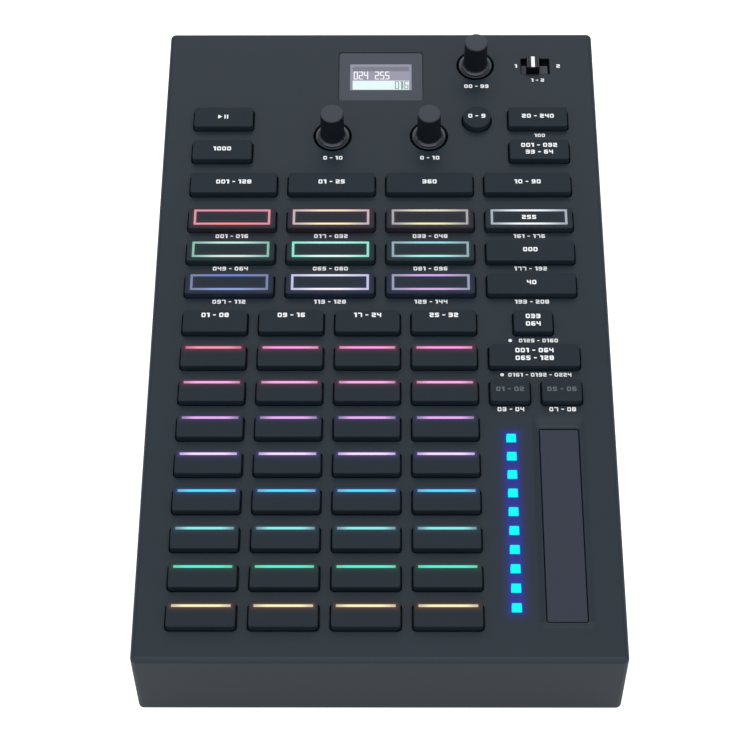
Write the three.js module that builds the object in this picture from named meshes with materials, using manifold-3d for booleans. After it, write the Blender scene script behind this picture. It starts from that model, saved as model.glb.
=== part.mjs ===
// A table-top lighting controller: a flat case full of keys, three knobs, a display, a touch strip and rear sockets.
// Millimetres, +Z up. X runs to the user's right, Y away from the user. The origin is under the middle of the case,
// on the surface that the rubber feet rest on.
import * as THREE from "three";
import { mergeVertices } from "three/addons/utils/BufferGeometryUtils.js";
import Module from "manifold-3d";

const wasm = await Module();
wasm.setup();

// Case
const frontMargin = 14.1;
const headerDepth = 54.05;
const caseHeight = 43;
const footHeight = 6;
const panelThickness = 3;
const wallThickness = 2.5;
const cornerRadius = 2.5;
const topEdgeRadius = 2.1;

// Clearance between neighbouring pieces, and how far a cutter runs past what it cuts
const slipGap = 0.3;
const cutOverrun = 1;

// Keys: every cap is a moulded block that stands in an opening of the panel and is kept in by a lip below it
const wideKeyWidth = 39.2;
const wideKeySpace = 5.46;
const keyDepth = 11.3;
const keyRise = 3.1;
const keyTravel = 1.5;
const keyCornerRadius = 1.2;
const keyEdgeBevel = 0.4;
const keyGap = 0.6;
const lipWidth = 1.3;
const lipThickness = 1.2;
const padSpace = 5.35;
const halfKeySpace = 5.35;
const sideKeyWidth = 27.15;
const backKeyDiameter = 12.8;

// Keys across the panel, and rows of them from the back to the front
const effectKeys = ["movement_button", "strobe_button", "hue_button", "smoke_button"];
const colorKeys = ["white_button", "black_button", "uv_button"];
const wideColumns = effectKeys.length;
const positionRows = colorKeys.length;
const padRows = 8;
const padsInRow = 4;
const rowPitch = 18.06;
const blockPitch = 20.3;
const transportPitch = 19.3;

// Knobs and their rotary encoders
const skirtDiameter = 15.6;
const skirtRise = 0.5;
const skirtEdge = 0.4;
const skirtShoulder = 1.9;
const stemFlare = 0.9;
const stemTaper = 0.6;
const knobRingGap = 1.15;
const knobRise = 16.8;
const knobTopBevel = 0.8;
const knobRowDrop = 9.15;
const selectBackMargin = 20.3;
const shaftDiameter = 6;
const pushTravel = 1.5;
const encoderWall = 0.9;
const encoderFloor = 0.6;
const rotorWall = 1.5;
const rotorHeight = 1.8;
const rotorWellDepth = 2.6;

// Display: a clear window lies in a rebate of the panel, over the screen module
const windowWidth = 39.5;
const windowDepth = 29.4;
const windowCornerRadius = 1.5;
const windowThickness = 1.2;
const windowBackMargin = 26.8;
const windowLedge = 2.6;
const screenSideMargin = 4;
const screenEndMargin = 5.7;
const screenOffset = 0.75;
const moduleMargin = 2.2;
const moduleThickness = 2.2;

// Touch strip in a dished recess beside the column of level lights
const recessWidth = 24;
const recessOverhang = 1.75;
const recessFloorDrop = 1;
const recessSideSlope = 3.75;
const recessBackSlope = 8;
const recessFrontSlope = 3.4;
const recessFrontMargin = 14.9;
const recessBackSpace = 3.9;
const stripThickness = 0.9;
const stripCornerRadius = 1;
const lightCount = 10;
const lightSide = 4;
const lightGap = 0.15;
const lightFrontMargin = 24.4;
const guideBarWidth = 6;
const guideBarThickness = 1.5;

// Slide switch
const slotWidth = 13.6;
const slotDepth = 9.8;
const slotBackMargin = 20.8;
const slotCornerRadius = 0.4;
const sliderWidth = 6.2;
const sliderDepth = 7;
const sliderRise = 3.3;
const sliderTravel = 2.3;
const sliderEdgeBevel = 0.3;
const sliderNeckWidth = 3.6;
const sliderNeckDepth = 3.2;
const sliderNeckLength = 2.4;
const switchPlateDrop = 2;
const switchFlange = 2.4;
const switchFloor = 1;

// Boards
const boardThickness = 1.6;
const boardSideGap = 1;
const boardPostClearance = 1;
const keySwitchSide = 6;
const keySwitchHeight = 1.8;
const boardPostRadius = 2.5;
const boardPostShares = [-0.36, 0, 0.36];
const ioBoardEndGap = 10;
const ioBoardDepth = 26;
const ioBoardBackGap = 4;
const ioPostRadius = 3;
const ioPostInset = 6;

// Rear sockets
const dmxEndInset = 13;
const dmxSpacing = 32;
const dmxBodyDiameter = 21;
const dmxLength = 22;
const dmxFaceLip = 1.5;
const dmxFaceThickness = 2;
const dmxShellWall = 1.1;
const dmxBoreDepth = 12;
const dmxPlugGap = 1.8;
const dmxInsertDrop = 1.2;
const dmxContacts = 3;
const dmxContactDiameter = 2.6;
const dmxContactDepth = 8;
const dmxContactInset = 3.3;
const dmxFootWidth = 14;
const dmxHeadroom = 1.8;
const usbEndInset = 15;
const usbSpacing = 22;
const usbWidth = 12;
const usbHeight = 10.9;
const usbLength = 16;
const usbSideWall = 1.75;
const usbEndWall = 1.55;
const usbMouthDepth = 9;
const usbMouthChamfer = 1.6;
const usbTongueSideGap = 1.45;
const usbTongueEndGap = 2.3;
const usbTongueDrop = 1;
const socketSetback = 0.2;

// Base plate, screws and feet
const plateThickness = 2;
const postLipGap = 2.61;
const screwPostInset = 5;
const screwPostRadius = 3.5;
const screwPilotDepth = 12;
const screwShankRadius = 1.2;
const screwLength = 10;
const screwHeadRadius = 2.6;
const screwHeadHeight = 1.4;
const screwHeadSink = 0.2;
const screwDriveRadius = 1;
const screwDriveDepth = 0.7;
const screwDriveFlats = 6;
const footRadius = 7;
const footEdgeBevel = 0.6;
const footSeat = 0.8;
const footInset = 9;

// Smoothness of round shapes, in steps
const cornerSteps = 2;
const roundSteps = 20;
const smallRoundSteps = 12;
const tinyRoundSteps = 8;

// Places across the panel: beside the keys the case holds their lips, the board posts and the wall
const sideMargin = lipWidth + postLipGap + boardPostRadius + screwPostInset + wallThickness;
const keyFieldWidth = wideColumns * wideKeyWidth + (wideColumns - 1) * wideKeySpace;
const caseWidth = keyFieldWidth + 2 * sideMargin;
const widePitch = wideKeyWidth + wideKeySpace;
const wideX = (column) => (column - (wideColumns - 1) / 2) * widePitch;
const fieldLeft = -keyFieldWidth / 2;
const fieldRight = keyFieldWidth / 2;
const padFieldWidth = (wideColumns - 1) * wideKeyWidth + (wideColumns - 2) * wideKeySpace;
const padWidth = (padFieldWidth - (padsInRow - 1) * padSpace) / padsInRow;
const padX = (pad) => fieldLeft + padWidth / 2 + pad * (padWidth + padSpace);
const halfKeyWidth = (wideKeyWidth - halfKeySpace) / 2;
const lastColumnX = wideX(wideColumns - 1);
const leftHalfX = lastColumnX - (halfKeyWidth + halfKeySpace) / 2;
const rightHalfX = lastColumnX + (halfKeyWidth + halfKeySpace) / 2;
const leftSideX = fieldLeft + sideKeyWidth / 2;
const rightSideX = fieldRight - sideKeyWidth / 2;
const selectX = (wideX(wideColumns - 2) + lastColumnX) / 2;

// Places from the front edge to the back
const keyFieldDepth =
  frontMargin +
  keyDepth / 2 +
  (padRows + positionRows - 1) * rowPitch +
  2 * blockPitch +
  2 * transportPitch;
const caseDepth = keyFieldDepth + headerDepth;
const frontY = -caseDepth / 2;
const backY = caseDepth / 2;
const padY = (row) => frontY + frontMargin + keyDepth / 2 + (padRows - 1 - row) * rowPitch;
const bankY = padY(0) + rowPitch;
const positionY = (row) => bankY + blockPitch + (positionRows - 1 - row) * rowPitch;
const effectY = positionY(0) + blockPitch;
const shiftY = effectY + transportPitch;
const playY = shiftY + transportPitch;
const knobY = playY - knobRowDrop;
const selectY = backY - selectBackMargin;
const windowY = backY - windowBackMargin;
const slotY = backY - slotBackMargin;

// Levels, worked down from the panel's top face
const panelTop = footHeight + caseHeight;
const panelUnder = panelTop - panelThickness;
const lipTop = panelUnder - slipGap;
const lipBottom = lipTop - lipThickness;
const boardTop = lipBottom - keyTravel - slipGap - keySwitchHeight;
const boardBottom = boardTop - boardThickness;
const keyTop = panelTop + keyRise;
const encoderBottom = boardTop + slipGap;
const encoderTop = lipTop;
const knobBottom = encoderTop + pushTravel + slipGap;
const dmxFaceDiameter = dmxBodyDiameter + 2 * dmxFaceLip;
const dmxZ = boardBottom - dmxHeadroom - dmxBodyDiameter / 2;
const ioBoardTop = dmxZ - dmxFaceDiameter / 2 - slipGap;
const ioBoardBottom = ioBoardTop - boardThickness;
const usbZ = ioBoardTop + slipGap + usbHeight / 2;
const plateTop = footHeight + plateThickness;

// Screw and post places
const screwX = caseWidth / 2 - wallThickness - screwPostInset;
const screwY = caseDepth / 2 - wallThickness - screwPostInset;
const footX = screwX - footInset;
const footY = screwY - footInset;

// Materials
const casePlastic = new THREE.MeshStandardMaterial({ color: 0x353a44, roughness: 0.55, metalness: 0 });
const keyPlastic = new THREE.MeshStandardMaterial({ color: 0x24272f, roughness: 0.6, metalness: 0 });
const knobPlastic = new THREE.MeshStandardMaterial({ color: 0x1b1d23, roughness: 0.45, metalness: 0 });
const windowPlastic = new THREE.MeshStandardMaterial({ color: 0x4b505b, roughness: 0.2, metalness: 0 });
const stripPlastic = new THREE.MeshStandardMaterial({ color: 0x3c3e4a, roughness: 0.5, metalness: 0 });
const lightPlastic = new THREE.MeshStandardMaterial({ color: 0x18e6ff, roughness: 0.4, metalness: 0 });
const boardLaminate = new THREE.MeshStandardMaterial({ color: 0x1d3b2a, roughness: 0.6, metalness: 0 });
const switchPlastic = new THREE.MeshStandardMaterial({ color: 0x14151a, roughness: 0.5, metalness: 0 });
const plateSteel = new THREE.MeshStandardMaterial({ color: 0x2a2c31, roughness: 0.5, metalness: 0.6 });
const brightSteel = new THREE.MeshStandardMaterial({ color: 0xb4b6ba, roughness: 0.3, metalness: 1 });
const footRubber = new THREE.MeshStandardMaterial({ color: 0x121214, roughness: 0.9, metalness: 0 });

// A closed geometry as a solid that can be joined and cut, with its faces turned outwards
function solid(geometry) {
  const bare = geometry.index ? geometry.toNonIndexed() : geometry.clone();
  bare.deleteAttribute("normal");
  bare.deleteAttribute("uv");
  const merged = mergeVertices(bare);
  const vertProperties = merged.attributes.position.array;
  const corners = new Uint32Array(merged.index.array);
  const build = (triVerts) => new wasm.Manifold(new wasm.Mesh({ numProp: 3, vertProperties, triVerts }));
  const made = build(corners);
  return made.volume() < 0 ? build(corners.toReversed()) : made;
}

function geometryOf(made) {
  const { vertProperties, triVerts } = made.getMesh();
  const geometry = new THREE.BufferGeometry();
  geometry.setAttribute("position", new THREE.BufferAttribute(new Float32Array(vertProperties), 3));
  geometry.setIndex(new THREE.BufferAttribute(new Uint32Array(triVerts), 1));
  geometry.computeVertexNormals();
  return geometry;
}

function mesh(name, made, material) {
  const piece = new THREE.Mesh(geometryOf(made), material);
  piece.name = name;
  return piece;
}

function groupOf(...pieces) {
  const group = new THREE.Group();
  group.add(...pieces.flat());
  return group;
}

const joined = (solids) => solids.reduce((whole, next) => whole.add(next));
const cutBy = (made, cutters) => cutters.reduce((whole, next) => whole.subtract(next), made);

// A rectangle with round corners, as the points of its outline
function roundedOutline({ x = 0, y = 0, width, depth, radius }) {
  const right = x + width / 2 - radius;
  const left = x - width / 2 + radius;
  const back = y + depth / 2 - radius;
  const front = y - depth / 2 + radius;
  const shape = new THREE.Shape();
  shape.absarc(right, back, radius, 0, Math.PI / 2);
  shape.absarc(left, back, radius, Math.PI / 2, Math.PI);
  shape.absarc(left, front, radius, Math.PI, 1.5 * Math.PI);
  shape.absarc(right, front, radius, 1.5 * Math.PI, 2 * Math.PI);
  return shape.getPoints(cornerSteps / 2);
}

function roundOutline({ x = 0, y = 0, diameter, steps = roundSteps }) {
  return Array.from({ length: steps }, (_, step) => {
    const turn = (step / steps) * 2 * Math.PI;
    return new THREE.Vector2(
      x + (diameter / 2) * Math.cos(turn),
      y + (diameter / 2) * Math.sin(turn),
    );
  });
}

// A closed body through outlines of the same point count, each at its own height
function loft(sections) {
  const count = sections[0].outline.length;
  const positions = sections.flatMap(({ outline, z }) => outline.flatMap((p) => [p.x, p.y, z]));
  const caps = THREE.ShapeUtils.triangulateShape(sections[0].outline, []);
  const last = (sections.length - 1) * count;
  const index = caps.flatMap(([a, b, c]) => [c, b, a, last + a, last + b, last + c]);
  for (let level = 0; level < sections.length - 1; level++) {
    for (let i = 0; i < count; i++) {
      const a = level * count + i;
      const b = level * count + ((i + 1) % count);
      index.push(a, b, b + count, a, b + count, a + count);
    }
  }
  const geometry = new THREE.BufferGeometry();
  geometry.setAttribute("position", new THREE.BufferAttribute(new Float32Array(positions), 3));
  geometry.setIndex(index);
  return solid(geometry);
}

const block = (size, bottom, top) =>
  loft([
    { outline: roundedOutline(size), z: bottom },
    { outline: roundedOutline(size), z: top },
  ]);

const roundBlock = (size, bottom, top) =>
  loft([
    { outline: roundOutline(size), z: bottom },
    { outline: roundOutline(size), z: top },
  ]);

// A plain box between two heights
function box({ x = 0, y = 0, width, depth }, bottom, top) {
  const geometry = new THREE.BoxGeometry(width, depth, top - bottom);
  return solid(geometry.translate(x, y, (bottom + top) / 2));
}

// A turned body: its profile lists radius and height, and starts and ends on the axis
function turned(profile, { x = 0, y = 0, steps = roundSteps }) {
  const points = profile.map(([radius, z]) => new THREE.Vector2(radius, z));
  return solid(new THREE.LatheGeometry(points, steps).rotateX(Math.PI / 2).translate(x, y, 0));
}

// A body that looks out of the back: its outline stands upright and it runs forward from its face
function facingBack(shape, face, length, steps = cornerSteps) {
  const geometry = new THREE.ExtrudeGeometry(shape, {
    depth: length,
    bevelEnabled: false,
    curveSegments: steps,
  });
  return solid(geometry.rotateX(Math.PI / 2).translate(0, face, 0));
}

function uprightCircle(x, z, diameter) {
  const shape = new THREE.Shape();
  shape.absarc(x, z, diameter / 2, 0, 2 * Math.PI);
  return shape;
}

function uprightRectangle(x, z, width, height) {
  const shape = new THREE.Shape();
  shape.moveTo(x - width / 2, z - height / 2);
  shape.lineTo(x + width / 2, z - height / 2);
  shape.lineTo(x + width / 2, z + height / 2);
  shape.lineTo(x - width / 2, z + height / 2);
  shape.closePath();
  return shape;
}

const grown = (size, by) => ({
  ...size,
  width: size.width + 2 * by,
  depth: size.depth + 2 * by,
  radius: size.radius + by,
});

// Keys. A row of pads or position keys is one moulding: its caps share the lip plate under the panel.
const cap = (x, y, width) => ({ x, y, width, depth: keyDepth, radius: keyCornerRadius });
const wideCap = (column, y) => cap(wideX(column), y, wideKeyWidth);
const lastColumnCap = (y) => wideCap(wideColumns - 1, y);
const padCaps = (y) => Array.from({ length: padsInRow }, (_, pad) => cap(padX(pad), y, padWidth));

const keyRows = [
  ...Array.from({ length: padRows }, (_, row) => ({
    name: `pad_row_${row + 1}`,
    caps: padCaps(padY(row)),
  })),
  ...Array.from({ length: positionRows }, (_, row) => ({
    name: `position_row_${row + 1}`,
    caps: Array.from({ length: wideColumns - 1 }, (_, column) => wideCap(column, positionY(row))),
  })),
  ...padCaps(bankY).map((one, bank) => ({ name: `bank_button_${bank + 1}`, caps: [one] })),
  { name: "play_pause_button", caps: [cap(leftSideX, playY, sideKeyWidth)] },
  { name: "shift_button", caps: [cap(leftSideX, shiftY, sideKeyWidth)] },
  { name: "tap_tempo_button", caps: [cap(rightSideX, playY, sideKeyWidth)] },
  { name: "override_button", caps: [cap(rightSideX, shiftY, sideKeyWidth)] },
  ...effectKeys.map((name, column) => ({ name, caps: [wideCap(column, effectY)] })),
  ...colorKeys.map((name, row) => ({ name, caps: [lastColumnCap(positionY(row))] })),
  { name: "auto_loop_button", caps: [cap(lastColumnX, bankY, halfKeyWidth)] },
  { name: "intensity_button", caps: [lastColumnCap(padY(0))] },
  { name: "group_button_left", caps: [cap(leftHalfX, padY(1), halfKeyWidth)] },
  { name: "group_button_right", caps: [cap(rightHalfX, padY(1), halfKeyWidth)] },
];
const backKey = { x: selectX, y: playY };

function keyCap(size) {
  return loft([
    { outline: roundedOutline(size), z: (lipTop + lipBottom) / 2 },
    { outline: roundedOutline(size), z: keyTop - keyEdgeBevel },
    { outline: roundedOutline(grown(size, -keyEdgeBevel)), z: keyTop },
  ]);
}

function lipPlate(caps) {
  const left = Math.min(...caps.map(({ x, width }) => x - width / 2)) - lipWidth;
  const right = Math.max(...caps.map(({ x, width }) => x + width / 2)) + lipWidth;
  const size = { x: (left + right) / 2, y: caps[0].y, width: right - left, depth: keyDepth + 2 * lipWidth };
  return box(size, lipBottom, lipTop);
}

const keyRow = ({ name, caps }) =>
  mesh(name, joined([lipPlate(caps), ...caps.map(keyCap)]), keyPlastic);

function roundBackKey() {
  const radius = backKeyDiameter / 2;
  const profile = [
    [0, lipBottom],
    [radius + lipWidth, lipBottom],
    [radius + lipWidth, lipTop],
    [radius, lipTop],
    [radius, keyTop - keyEdgeBevel],
    [radius - keyEdgeBevel, keyTop],
    [0, keyTop],
  ];
  return mesh("back_button", turned(profile, backKey), keyPlastic);
}

// Touch strip recess: a dish whose slopes run down to a flat floor, where the strip lies
const groupRowFront = padY(1) - keyDepth / 2;
const recessBack = groupRowFront - recessBackSpace;
const recessFront = frontY + recessFrontMargin;
const recessX = fieldRight + recessOverhang - recessWidth / 2;
const recessFloor = panelTop - recessFloorDrop;
const recessRim = {
  x: recessX,
  y: (recessBack + recessFront) / 2,
  width: recessWidth,
  depth: recessBack - recessFront,
  radius: recessSideSlope,
};
const floorBack = recessBack - recessBackSlope;
const floorFront = recessFront + recessFrontSlope;
const stripSeat = {
  x: recessX,
  y: (floorBack + floorFront) / 2,
  width: recessWidth - 2 * recessSideSlope,
  depth: floorBack - floorFront,
  radius: stripCornerRadius,
};

function recessCutter() {
  const above = panelTop + cutOverrun;
  const dish = loft([
    { outline: roundedOutline(stripSeat), z: recessFloor },
    { outline: roundedOutline(recessRim), z: panelTop },
    { outline: roundedOutline(recessRim), z: above },
  ]);
  const seat = block(stripSeat, recessFloor - stripThickness - slipGap, above);
  return dish.add(seat);
}

const touchStrip = () =>
  mesh(
    "touch_strip",
    block(grown(stripSeat, -slipGap), recessFloor - stripThickness, recessFloor),
    stripPlastic,
  );

// Level lights: ten posts of one clear light guide come up through square holes
const lightY = (light) => frontY + lightFrontMargin + (light * rowPitch) / 2;
const lights = Array.from({ length: lightCount }, (_, light) => ({
  x: leftHalfX,
  y: lightY(light),
  width: lightSide,
  depth: lightSide,
}));

function lightHoles() {
  const side = lightSide + 2 * lightGap;
  return lights.map(({ x, y }) =>
    box({ x, y, width: side, depth: side }, panelUnder - cutOverrun, panelTop + cutOverrun),
  );
}

function levelLightGuide() {
  const first = lights[0];
  const last = lights.at(-1);
  const bar = {
    x: first.x,
    y: (first.y + last.y) / 2,
    width: guideBarWidth,
    depth: last.y - first.y + guideBarWidth,
  };
  const posts = lights.map((light) => box(light, lipTop - guideBarThickness / 2, panelTop));
  return mesh(
    "level_light_guide",
    joined([box(bar, lipTop - guideBarThickness, lipTop), ...posts]),
    lightPlastic,
  );
}

// Display
const windowSize = { x: 0, y: windowY, width: windowWidth, depth: windowDepth, radius: windowCornerRadius };
const screenY = windowY - screenOffset;
const windowSeatZ = panelTop - windowThickness - slipGap;

function displayCutters() {
  const rebate = block(grown(windowSize, slipGap), windowSeatZ, panelTop + cutOverrun);
  const opening = box(
    { y: windowY, width: windowWidth - 2 * windowLedge, depth: windowDepth - 2 * windowLedge },
    panelUnder - cutOverrun,
    panelTop,
  );
  return [rebate, opening];
}

const displayWindow = () =>
  mesh("display_window", block(windowSize, panelTop - windowThickness, panelTop), windowPlastic);

function displayModule() {
  const carrier = {
    y: windowY,
    width: windowWidth + 2 * moduleMargin,
    depth: windowDepth + 2 * moduleMargin,
  };
  const screen = {
    y: screenY,
    width: windowWidth - 2 * screenSideMargin,
    depth: windowDepth - 2 * screenEndMargin,
  };
  return mesh(
    "display_module",
    box(carrier, lipTop - moduleThickness, lipTop).add(
      box(screen, lipTop - moduleThickness / 2, windowSeatZ - slipGap),
    ),
    switchPlastic,
  );
}

// Knobs
const knobPlaces = {
  select: { x: selectX, y: selectY },
  speed: { x: wideX(1), y: knobY },
  color: { x: wideX(2), y: knobY },
};
const shaftBottom = encoderBottom + encoderFloor + slipGap + pushTravel;
const boreRadius = shaftDiameter / 2 + slipGap;

function knob(name, place) {
  const skirtTop = panelTop + skirtRise;
  const knobTop = panelTop + knobRise;
  const stemRadius = skirtDiameter / 2 - skirtShoulder;
  const stemTopRadius = stemRadius - stemTaper;
  const profile = [
    [0, shaftBottom],
    [shaftDiameter / 2, shaftBottom],
    [shaftDiameter / 2, knobBottom],
    [skirtDiameter / 2, knobBottom],
    [skirtDiameter / 2, skirtTop - skirtEdge],
    [skirtDiameter / 2 - skirtEdge, skirtTop],
    [stemRadius + stemFlare / 2, skirtTop],
    [stemRadius, skirtTop + stemFlare],
    [stemTopRadius, knobTop - knobTopBevel],
    [stemTopRadius - knobTopBevel, knobTop],
    [0, knobTop],
  ];
  return mesh(name, turned(profile, place), knobPlastic);
}

function knobHoles() {
  const diameter = skirtDiameter + 2 * knobRingGap;
  return Object.values(knobPlaces).map(({ x, y }) =>
    roundBlock({ x, y, diameter }, panelUnder - cutOverrun, panelTop + cutOverrun),
  );
}

// The select knob can be pushed, so its encoder has a well for the rotor that the shaft slides through
const rotorRadius = boreRadius + rotorWall;
const wellFloor = encoderTop - rotorWellDepth;
const encoderSide = 2 * (rotorRadius + slipGap + encoderWall);

function encoder(name, { x, y }, hasRotorWell) {
  const body = box({ x, y, width: encoderSide, depth: encoderSide }, encoderBottom, encoderTop);
  const bore = { x, y, diameter: 2 * boreRadius };
  const cutters = [roundBlock(bore, encoderBottom + encoderFloor, encoderTop + cutOverrun)];
  if (hasRotorWell) {
    const well = { x, y, diameter: 2 * (rotorRadius + slipGap) };
    cutters.push(roundBlock(well, wellFloor, encoderTop + cutOverrun));
  }
  return mesh(name, cutBy(body, cutters), switchPlastic);
}

function selectRotor({ x, y }) {
  const bottom = wellFloor + slipGap;
  const top = bottom + rotorHeight;
  const ring = roundBlock({ x, y, diameter: 2 * rotorRadius }, bottom, top);
  const bore = roundBlock({ x, y, diameter: 2 * boreRadius }, bottom - cutOverrun, top + cutOverrun);
  return mesh("select_rotor", ring.subtract(bore), brightSteel);
}

// Slide switch, shown in its left position
const slotSize = { x: rightSideX, y: slotY, width: slotWidth, depth: slotDepth, radius: slotCornerRadius };
const sliderX = rightSideX - sliderTravel / 2;
const neckY = slotY + (sliderDepth - sliderNeckDepth) / 2;
const switchPlateTop = panelTop - switchPlateDrop;
const neckBottom = switchPlateTop - sliderNeckLength;

const slotCutter = () => block(slotSize, panelUnder - cutOverrun, panelTop + cutOverrun);

function switchSlider() {
  const size = { x: sliderX, y: slotY, width: sliderWidth, depth: sliderDepth, radius: sliderEdgeBevel };
  const top = panelTop + sliderRise;
  const grip = loft([
    { outline: roundedOutline(size), z: switchPlateTop + slipGap },
    { outline: roundedOutline(size), z: top - sliderEdgeBevel },
    { outline: roundedOutline(grown(size, -sliderEdgeBevel / 2)), z: top },
  ]);
  const neck = { x: sliderX, y: neckY, width: sliderNeckWidth, depth: sliderNeckDepth };
  return mesh("usb_switch_slider", grip.add(box(neck, neckBottom, panelTop)), switchPlastic);
}

function switchBody() {
  const flange = {
    x: rightSideX,
    y: slotY,
    width: slotWidth + 2 * switchFlange,
    depth: slotDepth + 2 * switchFlange,
  };
  const plate = {
    x: rightSideX,
    y: slotY,
    width: slotWidth - 2 * slipGap,
    depth: slotDepth - 2 * slipGap,
  };
  const channel = {
    x: rightSideX,
    y: neckY,
    width: sliderNeckWidth + sliderTravel + 2 * slipGap,
    depth: sliderNeckDepth + 2 * slipGap,
  };
  const bottom = boardTop + slipGap;
  const body = box(flange, bottom, lipTop).add(box(plate, bottom + switchFloor, switchPlateTop));
  const cut = box(channel, neckBottom - slipGap, switchPlateTop + cutOverrun);
  return mesh("usb_switch_body", body.subtract(cut), switchPlastic);
}

// Main board with a push switch under every key
function mainBoard() {
  const board = {
    width: caseWidth - 2 * (wallThickness + boardSideGap),
    depth: 2 * (screwY - screwPostRadius - boardPostClearance),
  };
  const places = [...keyRows.flatMap(({ caps }) => caps), backKey];
  const switches = places.map(({ x, y }) =>
    box(
      { x, y, width: keySwitchSide, depth: keySwitchSide },
      boardTop - boardThickness / 2,
      boardTop + keySwitchHeight,
    ),
  );
  return mesh("main_board", joined([box(board, boardBottom, boardTop), ...switches]), boardLaminate);
}

const boardPosts = boardPostShares.flatMap((share) =>
  [-screwX, screwX].map((x) => ({
    x,
    y: share * caseDepth,
    diameter: 2 * boardPostRadius,
    steps: smallRoundSteps,
  })),
);

// Socket board, on four posts of the base plate behind the rear sockets
const ioBoardWidth = 2 * (screwX - screwPostRadius - ioBoardEndGap);
const ioBoard = {
  y: backY - wallThickness - ioBoardBackGap - ioBoardDepth / 2,
  width: ioBoardWidth,
  depth: ioBoardDepth,
};
const ioPosts = [-1, 1].flatMap((side) =>
  [-1, 1].map((end) => ({
    x: side * (ioBoardWidth / 2 - ioPostInset),
    y: ioBoard.y + end * (ioBoardDepth / 2 - ioPostInset),
    diameter: 2 * ioPostRadius,
    steps: smallRoundSteps,
  })),
);
const socketBoard = () => mesh("socket_board", box(ioBoard, ioBoardBottom, ioBoardTop), boardLaminate);

// Rear sockets, seen from behind: two 3-pole stage sockets and two square data sockets
const dmxOutwardX = dmxEndInset - ioBoardWidth / 2;
const usbOutwardX = ioBoardWidth / 2 - usbEndInset;
const dmxPlaces = [dmxOutwardX, dmxOutwardX + dmxSpacing];
const usbPlaces = [usbOutwardX - usbSpacing, usbOutwardX];
const socketFace = backY - socketSetback;
const dmxBoreDiameter = dmxBodyDiameter - 2 * dmxShellWall;
const dmxInsertDiameter = dmxBoreDiameter - 2 * dmxPlugGap;
const dmxContactRadius = dmxInsertDiameter / 2 - dmxContactInset;

function dmxSocket(x, order) {
  const seat = ioBoardTop + slipGap;
  const foot = uprightRectangle(x, (seat + dmxZ) / 2, dmxFootWidth, dmxZ - seat);
  const whole = joined([
    facingBack(uprightCircle(x, dmxZ, dmxFaceDiameter), socketFace, dmxFaceThickness, roundSteps / 2),
    facingBack(uprightCircle(x, dmxZ, dmxBodyDiameter), socketFace, dmxLength, roundSteps / 2),
    facingBack(foot, socketFace - wallThickness, dmxLength - wallThickness),
  ]);
  const bore = facingBack(
    uprightCircle(x, dmxZ, dmxBoreDiameter),
    socketFace + cutOverrun,
    dmxBoreDepth + cutOverrun,
    roundSteps / 2,
  );
  const insert = facingBack(
    uprightCircle(x, dmxZ, dmxInsertDiameter),
    socketFace - dmxInsertDrop,
    dmxBoreDepth - dmxInsertDrop + cutOverrun,
    roundSteps / 2,
  );
  const contacts = Array.from({ length: dmxContacts }, (_, contact) => {
    const turn = -Math.PI / 2 + (contact * 2 * Math.PI) / dmxContacts;
    const hole = uprightCircle(
      x + dmxContactRadius * Math.cos(turn),
      dmxZ + dmxContactRadius * Math.sin(turn),
      dmxContactDiameter,
    );
    return facingBack(hole, socketFace, dmxContactDepth, tinyRoundSteps / 2);
  });
  const made = cutBy(whole.subtract(bore.subtract(insert)), contacts);
  return mesh(`dmx_socket_${order + 1}`, made, switchPlastic);
}

function usbSocket(x, order) {
  const shell = facingBack(uprightRectangle(x, usbZ, usbWidth, usbHeight), socketFace, usbLength);
  const mouth = new THREE.Shape();
  const mouthWidth = usbWidth - 2 * usbSideWall;
  const mouthHeight = usbHeight - 2 * usbEndWall;
  const half = mouthWidth / 2;
  const low = usbZ - mouthHeight / 2;
  const high = usbZ + mouthHeight / 2;
  mouth.moveTo(x - half, low);
  mouth.lineTo(x + half, low);
  mouth.lineTo(x + half, high - usbMouthChamfer);
  mouth.lineTo(x + half - usbMouthChamfer, high);
  mouth.lineTo(x - half + usbMouthChamfer, high);
  mouth.lineTo(x - half, high - usbMouthChamfer);
  mouth.closePath();
  const bore = facingBack(mouth, socketFace + cutOverrun, usbMouthDepth + cutOverrun);
  const tongue = facingBack(
    uprightRectangle(x, usbZ, mouthWidth - 2 * usbTongueSideGap, mouthHeight - 2 * usbTongueEndGap),
    socketFace - usbTongueDrop,
    usbMouthDepth - usbTongueDrop + cutOverrun,
  );
  return mesh(`usb_socket_${order + 1}`, shell.subtract(bore.subtract(tongue)), brightSteel);
}

function socketHoles() {
  const face = backY + cutOverrun;
  const length = wallThickness + 2 * cutOverrun;
  const round = dmxPlaces.map((x) =>
    facingBack(uprightCircle(x, dmxZ, dmxFaceDiameter + 2 * slipGap), face, length, roundSteps / 2),
  );
  const square = usbPlaces.map((x) =>
    facingBack(
      uprightRectangle(x, usbZ, usbWidth + 2 * slipGap, usbHeight + 2 * slipGap),
      face,
      length,
    ),
  );
  return [...round, ...square];
}

// Top case: panel and four walls in one moulding, open below
const corners = [-1, 1].flatMap((side) => [-1, 1].map((end) => ({ side, end })));

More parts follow.
